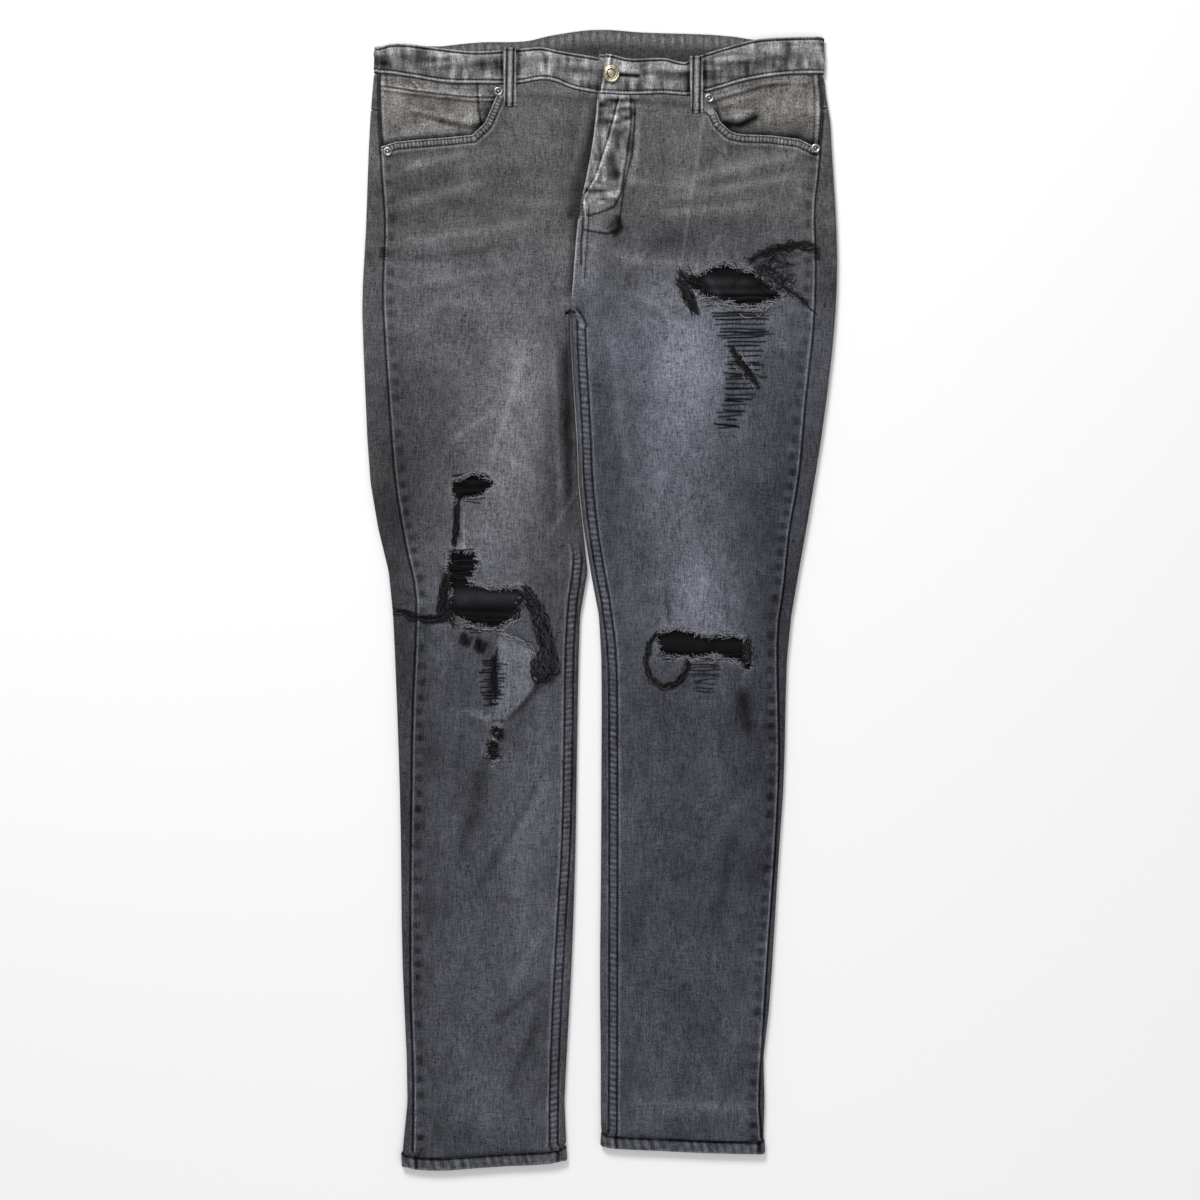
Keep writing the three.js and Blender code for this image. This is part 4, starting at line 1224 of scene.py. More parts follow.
def round_columns(xs_front, left, right, z_top, front, back, back_step):
    """Columns of a ring: along the front, round one fold, along the back and round the other.

    front and back each hold two functions of x, for the low and the high edge.
    """
    columns = [(x, z_top, front[0](x), front[1](x), 0.0, -1.0) for x in xs_front]
    radius = z_top / 2

    def fold(middle, x, quarter, start, edges, ends):
        for k in range(start, FOLD_STEPS + 1):
            share = k / FOLD_STEPS
            a = math.pi * (quarter - share)
            heights = [e(x) * (1 - share) + f(x) * share for e, f in zip(edges, ends)]
            columns.append((middle + radius * math.cos(a), radius + radius * math.sin(a), *heights,
                            -math.cos(a), -math.sin(a)))

    fold(right - radius, right - 4, 0.5, 1, front, back)
    for x in np.arange(right - radius - back_step, left + radius + 1, -back_step):
        columns.append((x, 0.0, back[0](x), back[1](x), 0.0, 1.0))
    fold(left + radius, left + 4, 1.5, 0, back, front)
    return columns


def with_run(columns):
    place = np.array([(c[0], c[1]) for c in columns])
    run = np.concatenate([[0], np.cumsum(np.linalg.norm(np.diff(place, axis=0), axis=1))])
    return [(*c, r) for c, r in zip(columns, run)]


def edges_of(found):
    """Low and high edge of a strip as functions of x."""
    return [lambda x, c=c: float(np.interp(x, found[:, 0], found[:, c])) for c in (1, 2)]


print("each fold of a ring is turned in", FOLD_STEPS, "steps")


# %% Hems
HEM_TOP, HEM_THICK = 6.9, 1.6
ROPING = 8.6  # from one slanting rib of a hem to the next


def hem_marks(x, y, low, high, run, _):
    rope = np.cos(2 * np.pi * (run + 0.35 * low) / ROPING + 2.0 * np.sin(run / 17))
    rope = rope * (0.6 + 0.5 * cloud(run, low, 9, 53))
    near = ramp(low, 0, 2) * ramp(high, 0, 1.5)
    lift = 0.5 + 0.5 * rope * near - 0.6 * bell((high - 1.0) / 0.7)
    value = 80 + 20 * rope * near + 44 * bell(low / 1.3) - 70 * bell((high - 1.2) / 1.1)
    value = value + 12 * cloud(x, y, 5, 51)
    seam = np.select([x < -100, x < 0, x < 60], [-175.5, -41.5, 14.0], 149.0)  # the nearest side seam
    value = value - 52 * bell((x - seam - 1.5) / 1.6) + 24 * bell((x - seam + 2.0) / 1.2)
    worn = cloud(x, y, 14, 52)
    return lift, value + 16 * worn * bell(low / 3)


for side in SIDES:
    node = f"hem_{side}"
    xs = np.arange(-190, 160, 1.5)
    front, back = (widths(node, xs, low=l, high=h, across=1) for l, h in ((5.2, 99), (-1, 1.2)))
    left, right = front[0, 0] - 0.8, front[-1, 0] + 0.8
    if side == "left":
        left, right = -188.0, -32.0
    columns = round_columns(np.arange(left + 4.2, right - 3.4, 1.7), left, right, HEM_TOP,
                            edges_of(front), edges_of(back), 2.4)
    columns = [(x, z, low, high + 3.0 * abs(nx), nx, nz) for x, z, low, high, nx, nz in columns]
    rows = np.concatenate([[0, 0.03, 0.07], np.linspace(0.12, 0.8, 8), [0.86, 0.9, 0.94, 0.97, 1.0]])
    thing = ribbon(f"denim_hem_{side}", with_run(columns), rows, HEM_THICK, True, hem_marks)
    declare(thing, node)

# %% Marks of the waistband
BAND_FRONT = widths("waistband", np.arange(-214, 213, 2.0), low=6.0, across=1)
BAND_BACK = widths("waistband", np.arange(-214, 213, 2.0), high=1.0, across=1)
BAND_BACK = BAND_BACK[BAND_BACK[:, 2] - BAND_BACK[:, 1] > 26]  # the rest runs over a belt loop
BUTTON = np.array(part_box("button")).mean(axis=0)[:2] / MM
BAND_TOP, BAND_THICK = 7.0, 1.7
LAP_END = 1.0  # x where the lapped end stops, and how its edge leans about a height
LAP_LEAN, LAP_HEIGHT = 0.13, 484
FRONT_LOOPS = (-85.3, 91.5)  # x of the two loops, which shade the band beside them


def band_marks(x, y, low, high, run, z):
    front = z > 5.5
    pucker = cloud(run, y, 4.2, 61, 3.2) + 0.5 * cloud(run, y, 8, 65, 1.5)
    bands = cloud(run, y, 34, 66, 0.13) + 0.6 * cloud(run, y, 14, 67, 0.2)
    within = ramp(low, 2, 6) * ramp(high, 2, 6)
    lift = 0.5 * pucker * (bell((low - 9) / 6) + bell((high - 8) / 6)) + 0.35 * bands * within
    lift = lift - 0.8 * bell((high - 2.6) / 0.8)
    lift = lift - 0.7 * bell((low - 2.6) / 0.8) + 0.3 * cloud(x, y, 18, 62)
    value = 106 + 34 * pucker * (bell((low - 9) / 7) + bell((high - 8) / 7)) + 8 * cloud(x, y, 26, 63, 0.4)
    value = value + 22 * bands * within
    for edge, change, middle, half in (
            (high, 26, 0.6, 0.9), (high, -62, 2.4, 0.85), (high, 26, 4.2, 1.0), (low, -46, 0.4, 0.9),
            (low, 44, 2.2, 1.0), (low, -56, 4.0, 0.8), (low, -14, 18, 4), (low, 14, 25, 4)):
        value = value + change * bell((edge - middle) / half)
    value = value + 17 * within * cloud(x, y, 2.8, 64, 6)
    value = value - 46 * patch(x, y, (-203, 508), (12, 5), -12) * front
    # painted shadow on the band beside each front loop
    for middle in FRONT_LOOPS:
        value = value - 60 * bell((np.abs(x - middle) - 7.6) / 1.7) * front
    end = x - LAP_END - LAP_LEAN * (y - LAP_HEIGHT)
    own = (run < 60) & front
    value = value + np.where(own, 52 * bell((end - 0.4) / 0.9) - 30 * bell((end - 3.4) / 1.0), 0)
    # the buttonhole's slit is painted dark for the shade inside it, and the cloth dips along it
    slot_line = np.array([(BUTTON[0] + 2, BUTTON[1] - 0.6), (BUTTON[0] + 25, BUTTON[1] - 2.0)])
    away, _ = beside(np.column_stack([x.ravel(), y.ravel()]), slot_line)
    away = np.where(own, np.abs(away).reshape(x.shape), 99)
    value = value - 100 * bell(away / 1.7) + 16 * bell((away - 4.5) / 1.6)
    lift = lift - 1.5 * bell(away / 1.2) + 0.35 * bell((away - 3.0) / 1.5)
    for k, (a, b) in enumerate(((39, 503), (42, 496), (39, 489))):
        value = value + np.where(own, 30 * streak(x, y, (a, b), (a + 11, b + 4 * (1 - k)), 1.6), 0)
    value = 106 + 1.22 * (value - 106)
    return lift, np.where(front, value, value - 16)


print("button at", BUTTON.round(1), "and the band's lap ends at x", LAP_END)

# %% Waistband
front_low, front_high = edges_of(BAND_FRONT)
band_left, band_right = -214.6, 213.0


def off_floor(x):
    """How far the back of the band stands off the table, away from its folds."""
    return 1.3 * ramp(x, band_left + 5, band_left + 18) * ramp(x, band_right - 5, band_right - 18)


near_lap = np.concatenate([np.arange(LAP_END, 46, 1.0), np.arange(46, band_right - 3.6, 1.9)])
columns = round_columns(near_lap, band_left, band_right, BAND_TOP, (front_low, front_high),
                        edges_of(BAND_BACK), 3.0)
columns = [(x, off_floor(x) if z == 0.0 and rest[-1] == 1.0 else z, *rest) for x, z, *rest in columns]
for x in np.concatenate([np.arange(band_left + 5, -12, 1.9), np.arange(-12, 38, 1.0)]):
    under = ramp(x, 4, 9)  # the end under the lap runs straight, at its own heights
    columns.append((x, BAND_TOP - 3.0 * ramp(x, -7, -0.5), front_low(x) * (1 - under) + 485 * under,
                    front_high(x) * (1 - under) + 509 * under, 0.0, -1.0))
rows = np.concatenate([[0, 0.012, 0.03, 0.055, 0.085, 0.11], np.linspace(0.14, 0.86, 30),
                       [0.89, 0.915, 0.94, 0.955, 0.97, 0.985, 1.0]])
band = ribbon("denim_waistband", with_run(columns), rows, BAND_THICK, False, band_marks)
for vertex in band.data.vertices:
    x, y, z = vertex.co / MM
    lap = ramp(x, 30, LAP_END)
    if z > 4.9 and x > LAP_END - 0.5 and lap > 0:
        vertex.co.x += float(lap * LAP_LEAN * (y - LAP_HEIGHT)) * MM
declare(band, "waistband")

# %% [markdown]
# ## Pocket facings, coin pocket and back pockets
# Behind each scooped pocket mouth lies a facing of plainer cloth, and the left one carries the small
# coin pocket. The back pockets are patches sewn on below the yoke. They are flat shells like the
# fronts, each with its own form and wear; the facings and the coin pocket also carry painted shadow
# along the pocket mouths and painted light and shade on their folds.


# %% Lines drawn on the pocket cloths
COIN_LINES = [  # the hem of the coin pocket, its side seam, the painted shadow under its foot and the painted shadow at the pocket mouth
    ([(-207, 491), (-167, 485.5), (-122, 480.5), (-98, 480.5)], 2.4, 16),
    ([(-207, 489), (-167, 483.5), (-122, 478.5), (-98, 478.5)], 0.9, 40),
    ([(-207, 487.2), (-167, 481.6), (-122, 476.7), (-98, 476.7)], 0.9, -66),
    ([(-207, 485.2), (-167, 479.6), (-122, 474.8), (-98, 474.8)], 1.0, 42),
    ([(-207, 482.8), (-167, 477.2), (-122, 472.4), (-98, 472.4)], 1.4, -34),
    ([(-116.5, 490), (-115.5, 466), (-113, 452)], 1.1, -64),
    ([(-114.2, 488), (-113.2, 466)], 0.9, 22),
    ([(-150, 453.5), (-124, 448), (-112, 450.5)], 2.6, -46),
    ([(-178, 461), (-150, 454.5)], 2.2, -26),
    ([(-178, 465.5), (-150, 459.5), (-122, 454)], 2.0, 22),
    ([(-181, 492.5), (-175, 486)], 1.2, -34),
    ([(-173, 491), (-167, 485)], 1.2, -34),
    ([(-177.5, 492), (-171, 485.5)], 1.1, 28),
    ([(-206.5, 492), (-205.5, 440)], 1.0, 34),
]
MOUTH_FOLD_LIGHT_AND_SHADE = [  # painted shadow where the cloth inside the other pocket falls away from its mouth, and painted light and shade along its folds
    ([(120, 451), (132, 450.5), (147, 457.5)], 3.4, -88),
    ([(117, 457.5), (130, 459.5), (143, 464)], 1.6, 24),
    ([(113, 474), (125, 478), (150, 486), (180, 490)], 2.2, -28),
    ([(113, 470), (128, 474), (150, 481)], 1.8, 18),
    ([(117, 466), (126, 469)], 2.0, -24),
]


print("lines drawn:", len(COIN_LINES), "and", len(MOUTH_FOLD_LIGHT_AND_SHADE))


# %% Pocket facings and coin pocket
def drop(depth):
    return lambda points: form(*points.T) - depth


def warm_dye_and_painted_shade(value):
    """Undyed pocket cloth has a slightly warm grey."""
    return dye_and_painted_shade(value, np.full(len(value), -0.15)) * np.array([1.015, 1.0, 0.985])


def facing_dye_and_painted_shade(points, side):
    value = 104 + 18 * cloud(*points.T, 18, 71) + 13 * cloud(*points.T, 5, 72, 1.5)
    mouth, _ = beside(points, PANELS[side]["mouth"])
    # painted shadow along the pocket mouth, where the facing lies under the front's edge
    value = value - 62 * bell((mouth - 1) / 3.2) - 22 * bell((mouth - 7) / 6)
    out = np.abs(points[:, 0] - at(LEGS[side]["outseam"], points[:, 1]))
    value = value - 42 * bell((out - 1.5) / 1.0) + 26 * bell(out - 4) - 36 * bell((out - 7.0) / 1.0)
    value = value + drawn(points, COIN_LINES if side == "left" else MOUTH_FOLD_LIGHT_AND_SHADE)
    if side == "right":
        # painted light on a fold of the facing, and painted shade beside it
        fold, _ = beside(points, np.array([(110, 477), (160, 491), (196, 492)], float))
        value = value + 22 * bell(fold / 1.3) - 16 * bell((fold + 3) / 1.6)
    return warm_dye_and_painted_shade(value)


def coin_dye_and_painted_shade(points):
    x, y = points.T
    hem = np.interp(x, [-206, -177, -146, -113], [489, 482, 477, 478]) - y
    value = 104 + 18 * cloud(x, y, 12, 73) + 12 * cloud(x, y, 5, 74, 1.5)
    value = value + drawn(points, COIN_LINES)
    mouth, _ = beside(points, PANELS["left"]["mouth"])
    # painted shadow along the pocket mouth, and darker just above the hem line
    value = value - 60 * bell((mouth - 1) / 3.4) - 40 * bell((hem + 0.4) / 1.0)
    return warm_dye_and_painted_shade(value)


for side in SIDES:
    outline = outline_under(f"pocket_facing_{side}", high=3.6)
    thing = shell(f"pocket_facing_cloth_{side}", outline, [], drop(1.7), drop(2.7),
                  lambda p: facing_dye_and_painted_shade(p, side), FACING, 1.05, 7.0)
    declare(thing, f"pocket_facing_{side}")
outline = rims("coin_pocket", low=5.0)[0]
thing = shell("coin_pocket_cloth", outline, [], drop(0.45), drop(1.45), coin_dye_and_painted_shade, FACING, 0.95, 6.0)
declare(thing, "coin_pocket")


# %% Back pockets
def level(height):
    return lambda points: np.full(len(points), height)


def patch_dye(points, outline):
    away, along = beside(points, outline, closed=True)
    away = np.abs(away)
    value = 84 + 6 * cloud(*points.T, 22, 81) + 26 * bell((away - 0.5) / 1.0)
    value = value - 30 * (bell((away - 2.2) / 0.8) + bell((away - 8.4) / 0.8))
    value = value + 14 * bell((away - 5.3) / 2.2) * np.cos(2 * np.pi * along / 6.0)
    return dye_and_painted_shade(value, np.full(len(points), 0.35))


for side in SIDES:
    outline = UNDERNEATH[f"back_pocket_{side}"]
    thing = shell(f"back_pocket_cloth_{side}", outline, [], *map(level, ON_BACK),
                  lambda p: patch_dye(p, outline), DENIM, 3.0, 2.2)
    declare(thing, f"back_pocket_{side}")

# %% [markdown]
# ## Belt loops
# A belt loop is a folded strip, bartacked at both ends over the waistband. The middle stands off
# the band a little, and its two rows of stitching leave a raised pale rib between them.


# %% Loops
LOOP_SLANT = (-0.5, 0.5)  # how far the middle line leans from foot to top
LOOP_REST, LOOP_ARCH = 7.9, 1.1  # height at both ends, and how much more in the middle


def loop_dye(points, outline):
    low, high = outline.min(axis=0), outline.max(axis=0)
    x = points[:, 0] - np.interp(points[:, 1], [low[1], high[1]], LOOP_SLANT)
    across = np.abs(x - (low[0] + high[0]) / 2)
    value = 106 + 44 * bell((across - 5.4) / 0.9) - 92 * bell((across - 3.2) / 0.95)
    value = value + 40 * bell(across / 1.5)
    end = np.minimum(points[:, 1] - low[1], high[1] - points[:, 1])
    value = value + 8 * cloud(*points.T, 5, 91, 2) - 40 * bell((end - 2.5) / 1.1)
    return dye_and_painted_shade(value, np.full(len(points), 0.1))


for name in ("left", "right"):
    outline = rims(f"belt_loop_front_{name}", low=8.0)[0]
    low, high = outline.min(axis=0), outline.max(axis=0)

    def loop_top(points):
        t = (points[:, 1] - low[1]) / (high[1] - low[1])
        across = np.abs(points[:, 0] - (low[0] + high[0]) / 2)
        arch = LOOP_REST + LOOP_ARCH * np.sin(np.pi * np.clip(t, 0, 1))
        arch = arch + 0.35 * bell(across / 2) - 0.3 * bell((across - 3.1) / 0.8)
        return arch - 0.5 * bell((across - 6.5) / 0.7)

    thing = shell(f"belt_loop_cloth_front_{name}", outline, [], loop_top, lambda p: loop_top(p) - 1.2,
                  lambda p: loop_dye(p, outline), DENIM, 0.9, 2.5, edge=1.0)
    declare(thing, f"belt_loop_front_{name}")
for name in ("left", "centre", "right"):
    outline = UNDERNEATH[f"belt_loop_back_{name}"]
    thing = shell(f"belt_loop_cloth_back_{name}", outline, [], *map(level, ON_BACK),
                  lambda p: loop_dye(p, outline), DENIM, 1.6, 1.0)
    declare(thing, f"belt_loop_back_{name}")

# %% [markdown]
# ## Backing behind the rips
# A dark cloth is stitched behind the large rips, so no skin would show. It sags into soft folds
# just under the denim, which are made as ridges across the piece, painted lighter where they rise and
# darker where they sink.

# %% Backing cloths
BACKING_DROP, BACKING_THICK = 2.7, 0.9  # below the front's outer face, and its own thickness
BACKING_FOLDS = {  # from, to, half width, rise
    "backing_thigh": [((70, 302), (150, 301), 4, 1.0), ((80, 293), (170, 291), 2.5, 0.8),
                      ((70, 284), (182, 290), 2.5, -0.8), ((96, 318), (120, 276), 3, 0.6),
                      ((150, 312), (176, 280), 3, 0.7)],
    "backing_knee_left": [((-150, 2), (-66, 4), 8, 1.15), ((-148, -8), (-72, -10), 3, -0.3),
                          ((-140, -16), (-74, -16), 2.5, 0.9), ((-150, 34), (-108, 30), 2.5, 0.6)],
    "backing_knee_right": [((44, -38), (150, -42), 3, 0.2), ((50, -50), (150, -54), 2.5, -0.7)],
}


def backing_top(points, folds):
    height = form(*points.T) - BACKING_DROP + 0.25 * cloud(*points.T, 9, 95)
    for a, b, half, rise in folds:
        height = height + 0.8 * rise * streak(*points.T, a, b, half)
    return height


def backing_dye_and_painted_fold_light(points, folds):
    value = 17 + 3 * cloud(*points.T, 8, 96)
    for a, b, half, rise in folds:
        # painted light where a fold rises and painted shade where it sinks
        value = value + 22 * rise * streak(*points.T, a, b, half)
    return dye_and_painted_shade(value, np.full(len(points), 0.6))


for node, folds in BACKING_FOLDS.items():
    thing = shell(f"{node}_cloth", outline_under(node), [], lambda p: backing_top(p, folds),
                  lambda p: backing_top(p, folds) - BACKING_THICK, lambda p: backing_dye_and_painted_fold_light(p, folds),
                  BACKING, 1.8, 7.0)
    declare(thing, node)

# %% [markdown]
# ## Stitches, frays and loose threads
# A line of topstitching is one short barrel of thread after another. Geometry Nodes resample each
# seam line at the stitch length, put a barrel on every point and turn it along the line; the result
# is then kept as a plain mesh.

# %% Stitch lines
STITCHES = []  # the points of each line, in three dimensions


def stitch(line, height, step=3.0):
    line = divided(np.array(line, float), step / 2, closed=False)
    STITCHES.append(np.column_stack([line, height(line)]))


def beside_line(line, offset):
    line = divided(line, 3.0, closed=False)
    ahead = np.gradient(line, axis=0)
    normal = np.column_stack([-ahead[:, 1], ahead[:, 0]]) / np.linalg.norm(ahead, axis=1)[:, None]
    return line + normal * offset


def on_front(side):
    return lambda points: front_top(points, side) + 0.1


INSEAM_SEWN = {"left": 45, "right": 259}  # height up to which its two rows show
for side, sign in SIDES.items():
    inseam = seam_line(side, "inseam")
    inseam = inseam[(inseam[:, 1] > -505) & (inseam[:, 1] < INSEAM_SEWN[side])]
    for offset in (1.4, 9.0):
        stitch(beside_line(inseam, -sign * offset), on_front(side), 3.2)
    for offset in (1.6, 7.0):
        stitch(beside_line(PANELS[side]["mouth"], -offset), on_front(side), 2.8)
for line, half, change in LINES["right"]:
    if change < -20 and half < 1.2:
        stitch(line, on_front("right"))
for start, end in ((8, 206), (-208, -14)):
    xs = np.arange(start, end, 3.0)
    stitch([(x, front_low(x) + 4.0) for x in xs], level(BAND_TOP))
    stitch([(x, front_high(x) - 2.4) for x in xs], level(BAND_TOP))
print("stitch lines:", len(STITCHES), "points:", sum(len(s) for s in STITCHES))


# %% The stitch tree
def stitch_tree(material):
    tree = bpy.data.node_groups.new("stitches along lines", "GeometryNodeTree")
    face = tree.interface
    face.new_socket("Geometry", in_out="INPUT", socket_type="NodeSocketGeometry")
    for label, value in (("Stitch length", 0.003), ("Barrel length", 0.0024), ("Thread width", 0.0009)):
        face.new_socket(label, in_out="INPUT", socket_type="NodeSocketFloat").default_value = value
    face.new_socket("Geometry", in_out="OUTPUT", socket_type="NodeSocketGeometry")
    new, link = tree.nodes.new, tree.links.new
    start, end = new("NodeGroupInput"), new("NodeGroupOutput")
    spread = new("GeometryNodeResampleCurve")
    spread.mode = "LENGTH"
    link(start.outputs["Geometry"], spread.inputs["Curve"])
    link(start.outputs["Stitch length"], spread.inputs["Length"])
    barrel = new("GeometryNodeMeshUVSphere")
    barrel.inputs["Segments"].default_value = 6
    barrel.inputs["Rings"].default_value = 4
    barrel.inputs["Radius"].default_value = 0.4
    size = new("ShaderNodeCombineXYZ")
    link(start.outputs["Thread width"], size.inputs["X"])
    link(start.outputs["Thread width"], size.inputs["Y"])
    link(start.outputs["Barrel length"], size.inputs["Z"])
    tangent = new("GeometryNodeInputTangent")
    turn = new("FunctionNodeAlignRotationToVector")
    turn.axis = "Z"
    link(tangent.outputs["Tangent"], turn.inputs["Vector"])
    put = new("GeometryNodeInstanceOnPoints")
    link(spread.outputs["Curve"], put.inputs["Points"])
    link(barrel.outputs["Mesh"], put.inputs["Instance"])
    link(turn.outputs["Rotation"], put.inputs["Rotation"])
    link(size.outputs["Vector"], put.inputs["Scale"])
    real = new("GeometryNodeRealizeInstances")
    paint = new("GeometryNodeSetMaterial")
    paint.inputs["Material"].default_value = material
    link(put.outputs["Instances"], real.inputs["Geometry"])
    link(real.outputs["Geometry"], paint.inputs["Geometry"])
    link(paint.outputs["Geometry"], end.inputs["Geometry"])
    return tree


print("the tree turns short barrels along a line")


# %% Sewing every line
def sewn(name, lines, tree, material, sizes):
    """The tree run over the lines, kept as a plain mesh."""
    curve = bpy.data.curves.new(name + "_path", "CURVE")
    curve.dimensions = "3D"
    for line in lines:
        spline = curve.splines.new("POLY")
        spline.points.add(len(line) - 1)
        spline.points.foreach_set("co", np.column_stack([line * MM, np.ones(len(line))]).ravel())
    path = bpy.data.objects.new(name + "_path", curve)
    bpy.context.scene.collection.objects.link(path)
    modifier = path.modifiers.new("stitches", "NODES")
    modifier.node_group = tree
    for item in tree.interface.items_tree:
        if item.in_out == "INPUT" and item.name in sizes:
            modifier[item.identifier] = sizes[item.name]
    graph = bpy.context.evaluated_depsgraph_get()
    mesh = bpy.data.meshes.new_from_object(path.evaluated_get(graph))
    mesh.materials.clear()
    mesh.materials.append(material)
    thing = bpy.data.objects.new(name, mesh)
    bpy.context.scene.collection.objects.link(thing)
    bpy.data.objects.remove(path)
    print(name, len(mesh.polygons), "faces")
    return thing


sewing = sewn("topstitching", STITCHES, stitch_tree(BLACK_THREAD), BLACK_THREAD,
              {"Stitch length": 0.003, "Barrel length": 0.0026, "Thread width": 0.00095})
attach(sewing, "root")

# %% [markdown]
# ## Frays and loose yarn
# Where denim tears, the pale weft curls round the edge of the rip as a fringe, and the dark warp
# hangs out in bundles or still bridges the gap like the rungs of a ladder. Every yarn here is a thin
# three-sided tube along its own wandering path, from one seeded random source. They could be curves
# with a round bevel, but a tube of three sides keeps thousands of yarns light.

# %% A mesh of yarns
DICE = np.random.default_rng(7)


def yarn_mesh(name, yarns, node=None):
    """yarns holds (path of x, y and z, radius, shade) for each thread."""
    verts, faces, shades, start = [], [], [], 0
    turn = 2 * math.pi * np.arange(3) / 3
    for path, radius, value in yarns:
        ahead = np.gradient(path, axis=0)
        ahead /= np.linalg.norm(ahead, axis=1)[:, None] + 1e-9
        side = np.cross(ahead, (0.0, 0.0, 1.0))
        side /= np.linalg.norm(side, axis=1)[:, None] + 1e-9
        rise = np.cross(side, ahead)
        taper = radius * np.concatenate([[0.55], np.ones(len(path) - 2), [0.4]])
        ring = path[:, None] + taper[:, None, None] * (
            side[:, None] * np.cos(turn)[None, :, None] + rise[:, None] * np.sin(turn)[None, :, None])
        verts.append(ring.reshape(-1, 3))
        shades.append(np.full(3 * len(path), float(value)))
        for i in range(len(path) - 1):
            a, b = start + 3 * i, start + 3 * i + 3
            faces += [(a + k, b + k, b + (k + 1) % 3, a + (k + 1) % 3) for k in range(3)]
        faces.append((start, start + 1, start + 2))
        last = start + 3 * len(path) - 3
        faces.append((last + 2, last + 1, last))
        start += 3 * len(path)
    verts, shades = np.concatenate(verts), np.concatenate(shades)
    thing = new_object(name, verts, faces, PALE_YARN, dye_and_painted_shade(shades, np.full(len(shades), 0.4)))
    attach(thing, "root")
    if node:
        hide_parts(node)
    print(name, len(yarns), "yarns,", len(faces), "faces")


print("shades of black, grey and white yarn:", dye_and_painted_shade([10, 80, 170], [0.4] * 3)[:, 1].round(3))


# %% Fringe
CURL_STEPS = 7


def laid(path, clear):
    """A path in the plane put on the front, with its middle clear of the cloth."""
    path = np.asarray(path, float)
    return np.column_stack([path, form(*path.T) + clear])


def curl(place, heading, length, bend):
    """A path in the plane that wanders as it goes."""
    turns = np.cumsum(DICE.normal(0, bend, CURL_STEPS)) + heading
    stride = length / CURL_STEPS
    path = np.cumsum(np.column_stack([np.cos(turns), np.sin(turns)]) * stride, axis=0)
    return np.concatenate([[place], np.asarray(place) + path])


def fringe(loop, chance, pitch, length, shades, bend=0.55, lean=0.5):
    """Short curled yarns along a torn edge, pointing into the rip."""
    loop = divided(loop, pitch)
    ahead = np.roll(loop, -1, axis=0) - np.roll(loop, 1, axis=0)
    yarns = []
    sign = 1 if loop_area(loop) > 0 else -1
    for place, step in zip(loop, ahead):
        if DICE.random() > chance:
            continue
        heading = math.atan2(sign * step[0], -sign * step[1]) + DICE.normal(0, lean)
        place = place - 0.6 * np.array([math.cos(heading), math.sin(heading)])
        size = length * DICE.uniform(0.4, 1.3)
        path = curl(place, heading, size, bend)
        lifted = laid(path, 0.25)
        lifted[:, 2] += np.linspace(0, DICE.uniform(-0.8, 1.0), len(path))
        yarns.append((lifted, DICE.uniform(0.18, 0.32), DICE.uniform(*shades)))
    return yarns


print("a curled yarn has", CURL_STEPS + 1, "points")


# %% Bundles, ladders and tacks
def bundle(route, count, spread, shades, reach=(0.35, 1.0), radius=0.34, height=0.5):
    """Loose threads that follow one route together, each with its own sway."""
    route = np.array(route, float)
    run = np.concatenate([[0], np.cumsum(np.linalg.norm(np.diff(route, axis=0), axis=1))])
    yarns = []
    for _ in range(count):
        share = DICE.uniform(*reach)
        start = DICE.uniform(0, 1 - share)
        t = np.linspace(start, start + share, max(7, int(share * run[-1] / 2.2)))
        x, y = np.interp(t * run[-1], run, route[:, 0]), np.interp(t * run[-1], run, route[:, 1])
        phase, pace = DICE.uniform(0, 6.28, 2), DICE.uniform(2, 9, 2)
        base = DICE.normal(0, 0.42, 2)
        wave = run[-1] / 22 * pace
        x = x + spread * (base[0] + 0.4 * np.sin(wave[0] * t + phase[0])) + 0.7 * np.sin(2.7 * wave[1] * t)
        y = y + spread * (base[1] + 0.4 * np.sin(wave[1] * t + phase[1])) + 0.7 * np.sin(2.3 * wave[0] * t)
        path = laid(np.column_stack([x, y]), height + DICE.uniform(0, 1.1))
        yarns.append((path, radius * DICE.uniform(0.7, 1.2), DICE.uniform(*shades)))
    return yarns


def rungs(levels, ends, pitch, shades, radius=0.42, sway=0.7, ragged=2.5):
    """Threads left across a worn place, with their x ends given at several heights."""
    ends = np.array(ends, float)
    yarns = []
    for y in np.arange(levels[0], levels[1], -pitch):
        y = y + DICE.normal(0, 0.25 * pitch)
        x0 = np.interp(-y, -ends[:, 0], ends[:, 1]) + DICE.normal(0, ragged)
        x1 = np.interp(-y, -ends[:, 0], ends[:, 2]) + DICE.normal(0, ragged)
        x = np.linspace(x0, x1, 8)
        line = y + sway * np.sin(x / 6 + DICE.uniform(0, 6)) + DICE.normal(0, 0.04) * (x - x0)
        path = laid(np.column_stack([x, line]), 0.75)
        yarns.append((path, radius * DICE.uniform(0.7, 1.2), DICE.uniform(*shades)))
    return yarns


def darn(low, high, angle, pitch, shades, radius=0.4):
    """Close parallel stitches that fill a small box, as in a bar tack."""
    low, high = np.array(low, float), np.array(high, float)
    middle, half = (low + high) / 2, (high - low) / 2
    c, s = math.cos(angle), math.sin(angle)
    reach_along = abs(half[0] * c) + abs(half[1] * s)
    reach_across = abs(half[0] * s) + abs(half[1] * c)
    yarns = []
    for k in np.arange(-reach_across, reach_across, pitch):
        t = np.linspace(-1, 1, 4) * reach_along * DICE.uniform(0.85, 1.1)
        path = middle + np.column_stack([t * c - k * s, t * s + k * c])
        yarns.append((laid(path, 1.0), radius, DICE.uniform(*shades)))
    return yarns


print("ways:", ", ".join(way.__name__ for way in (fringe, bundle, rungs, darn)))

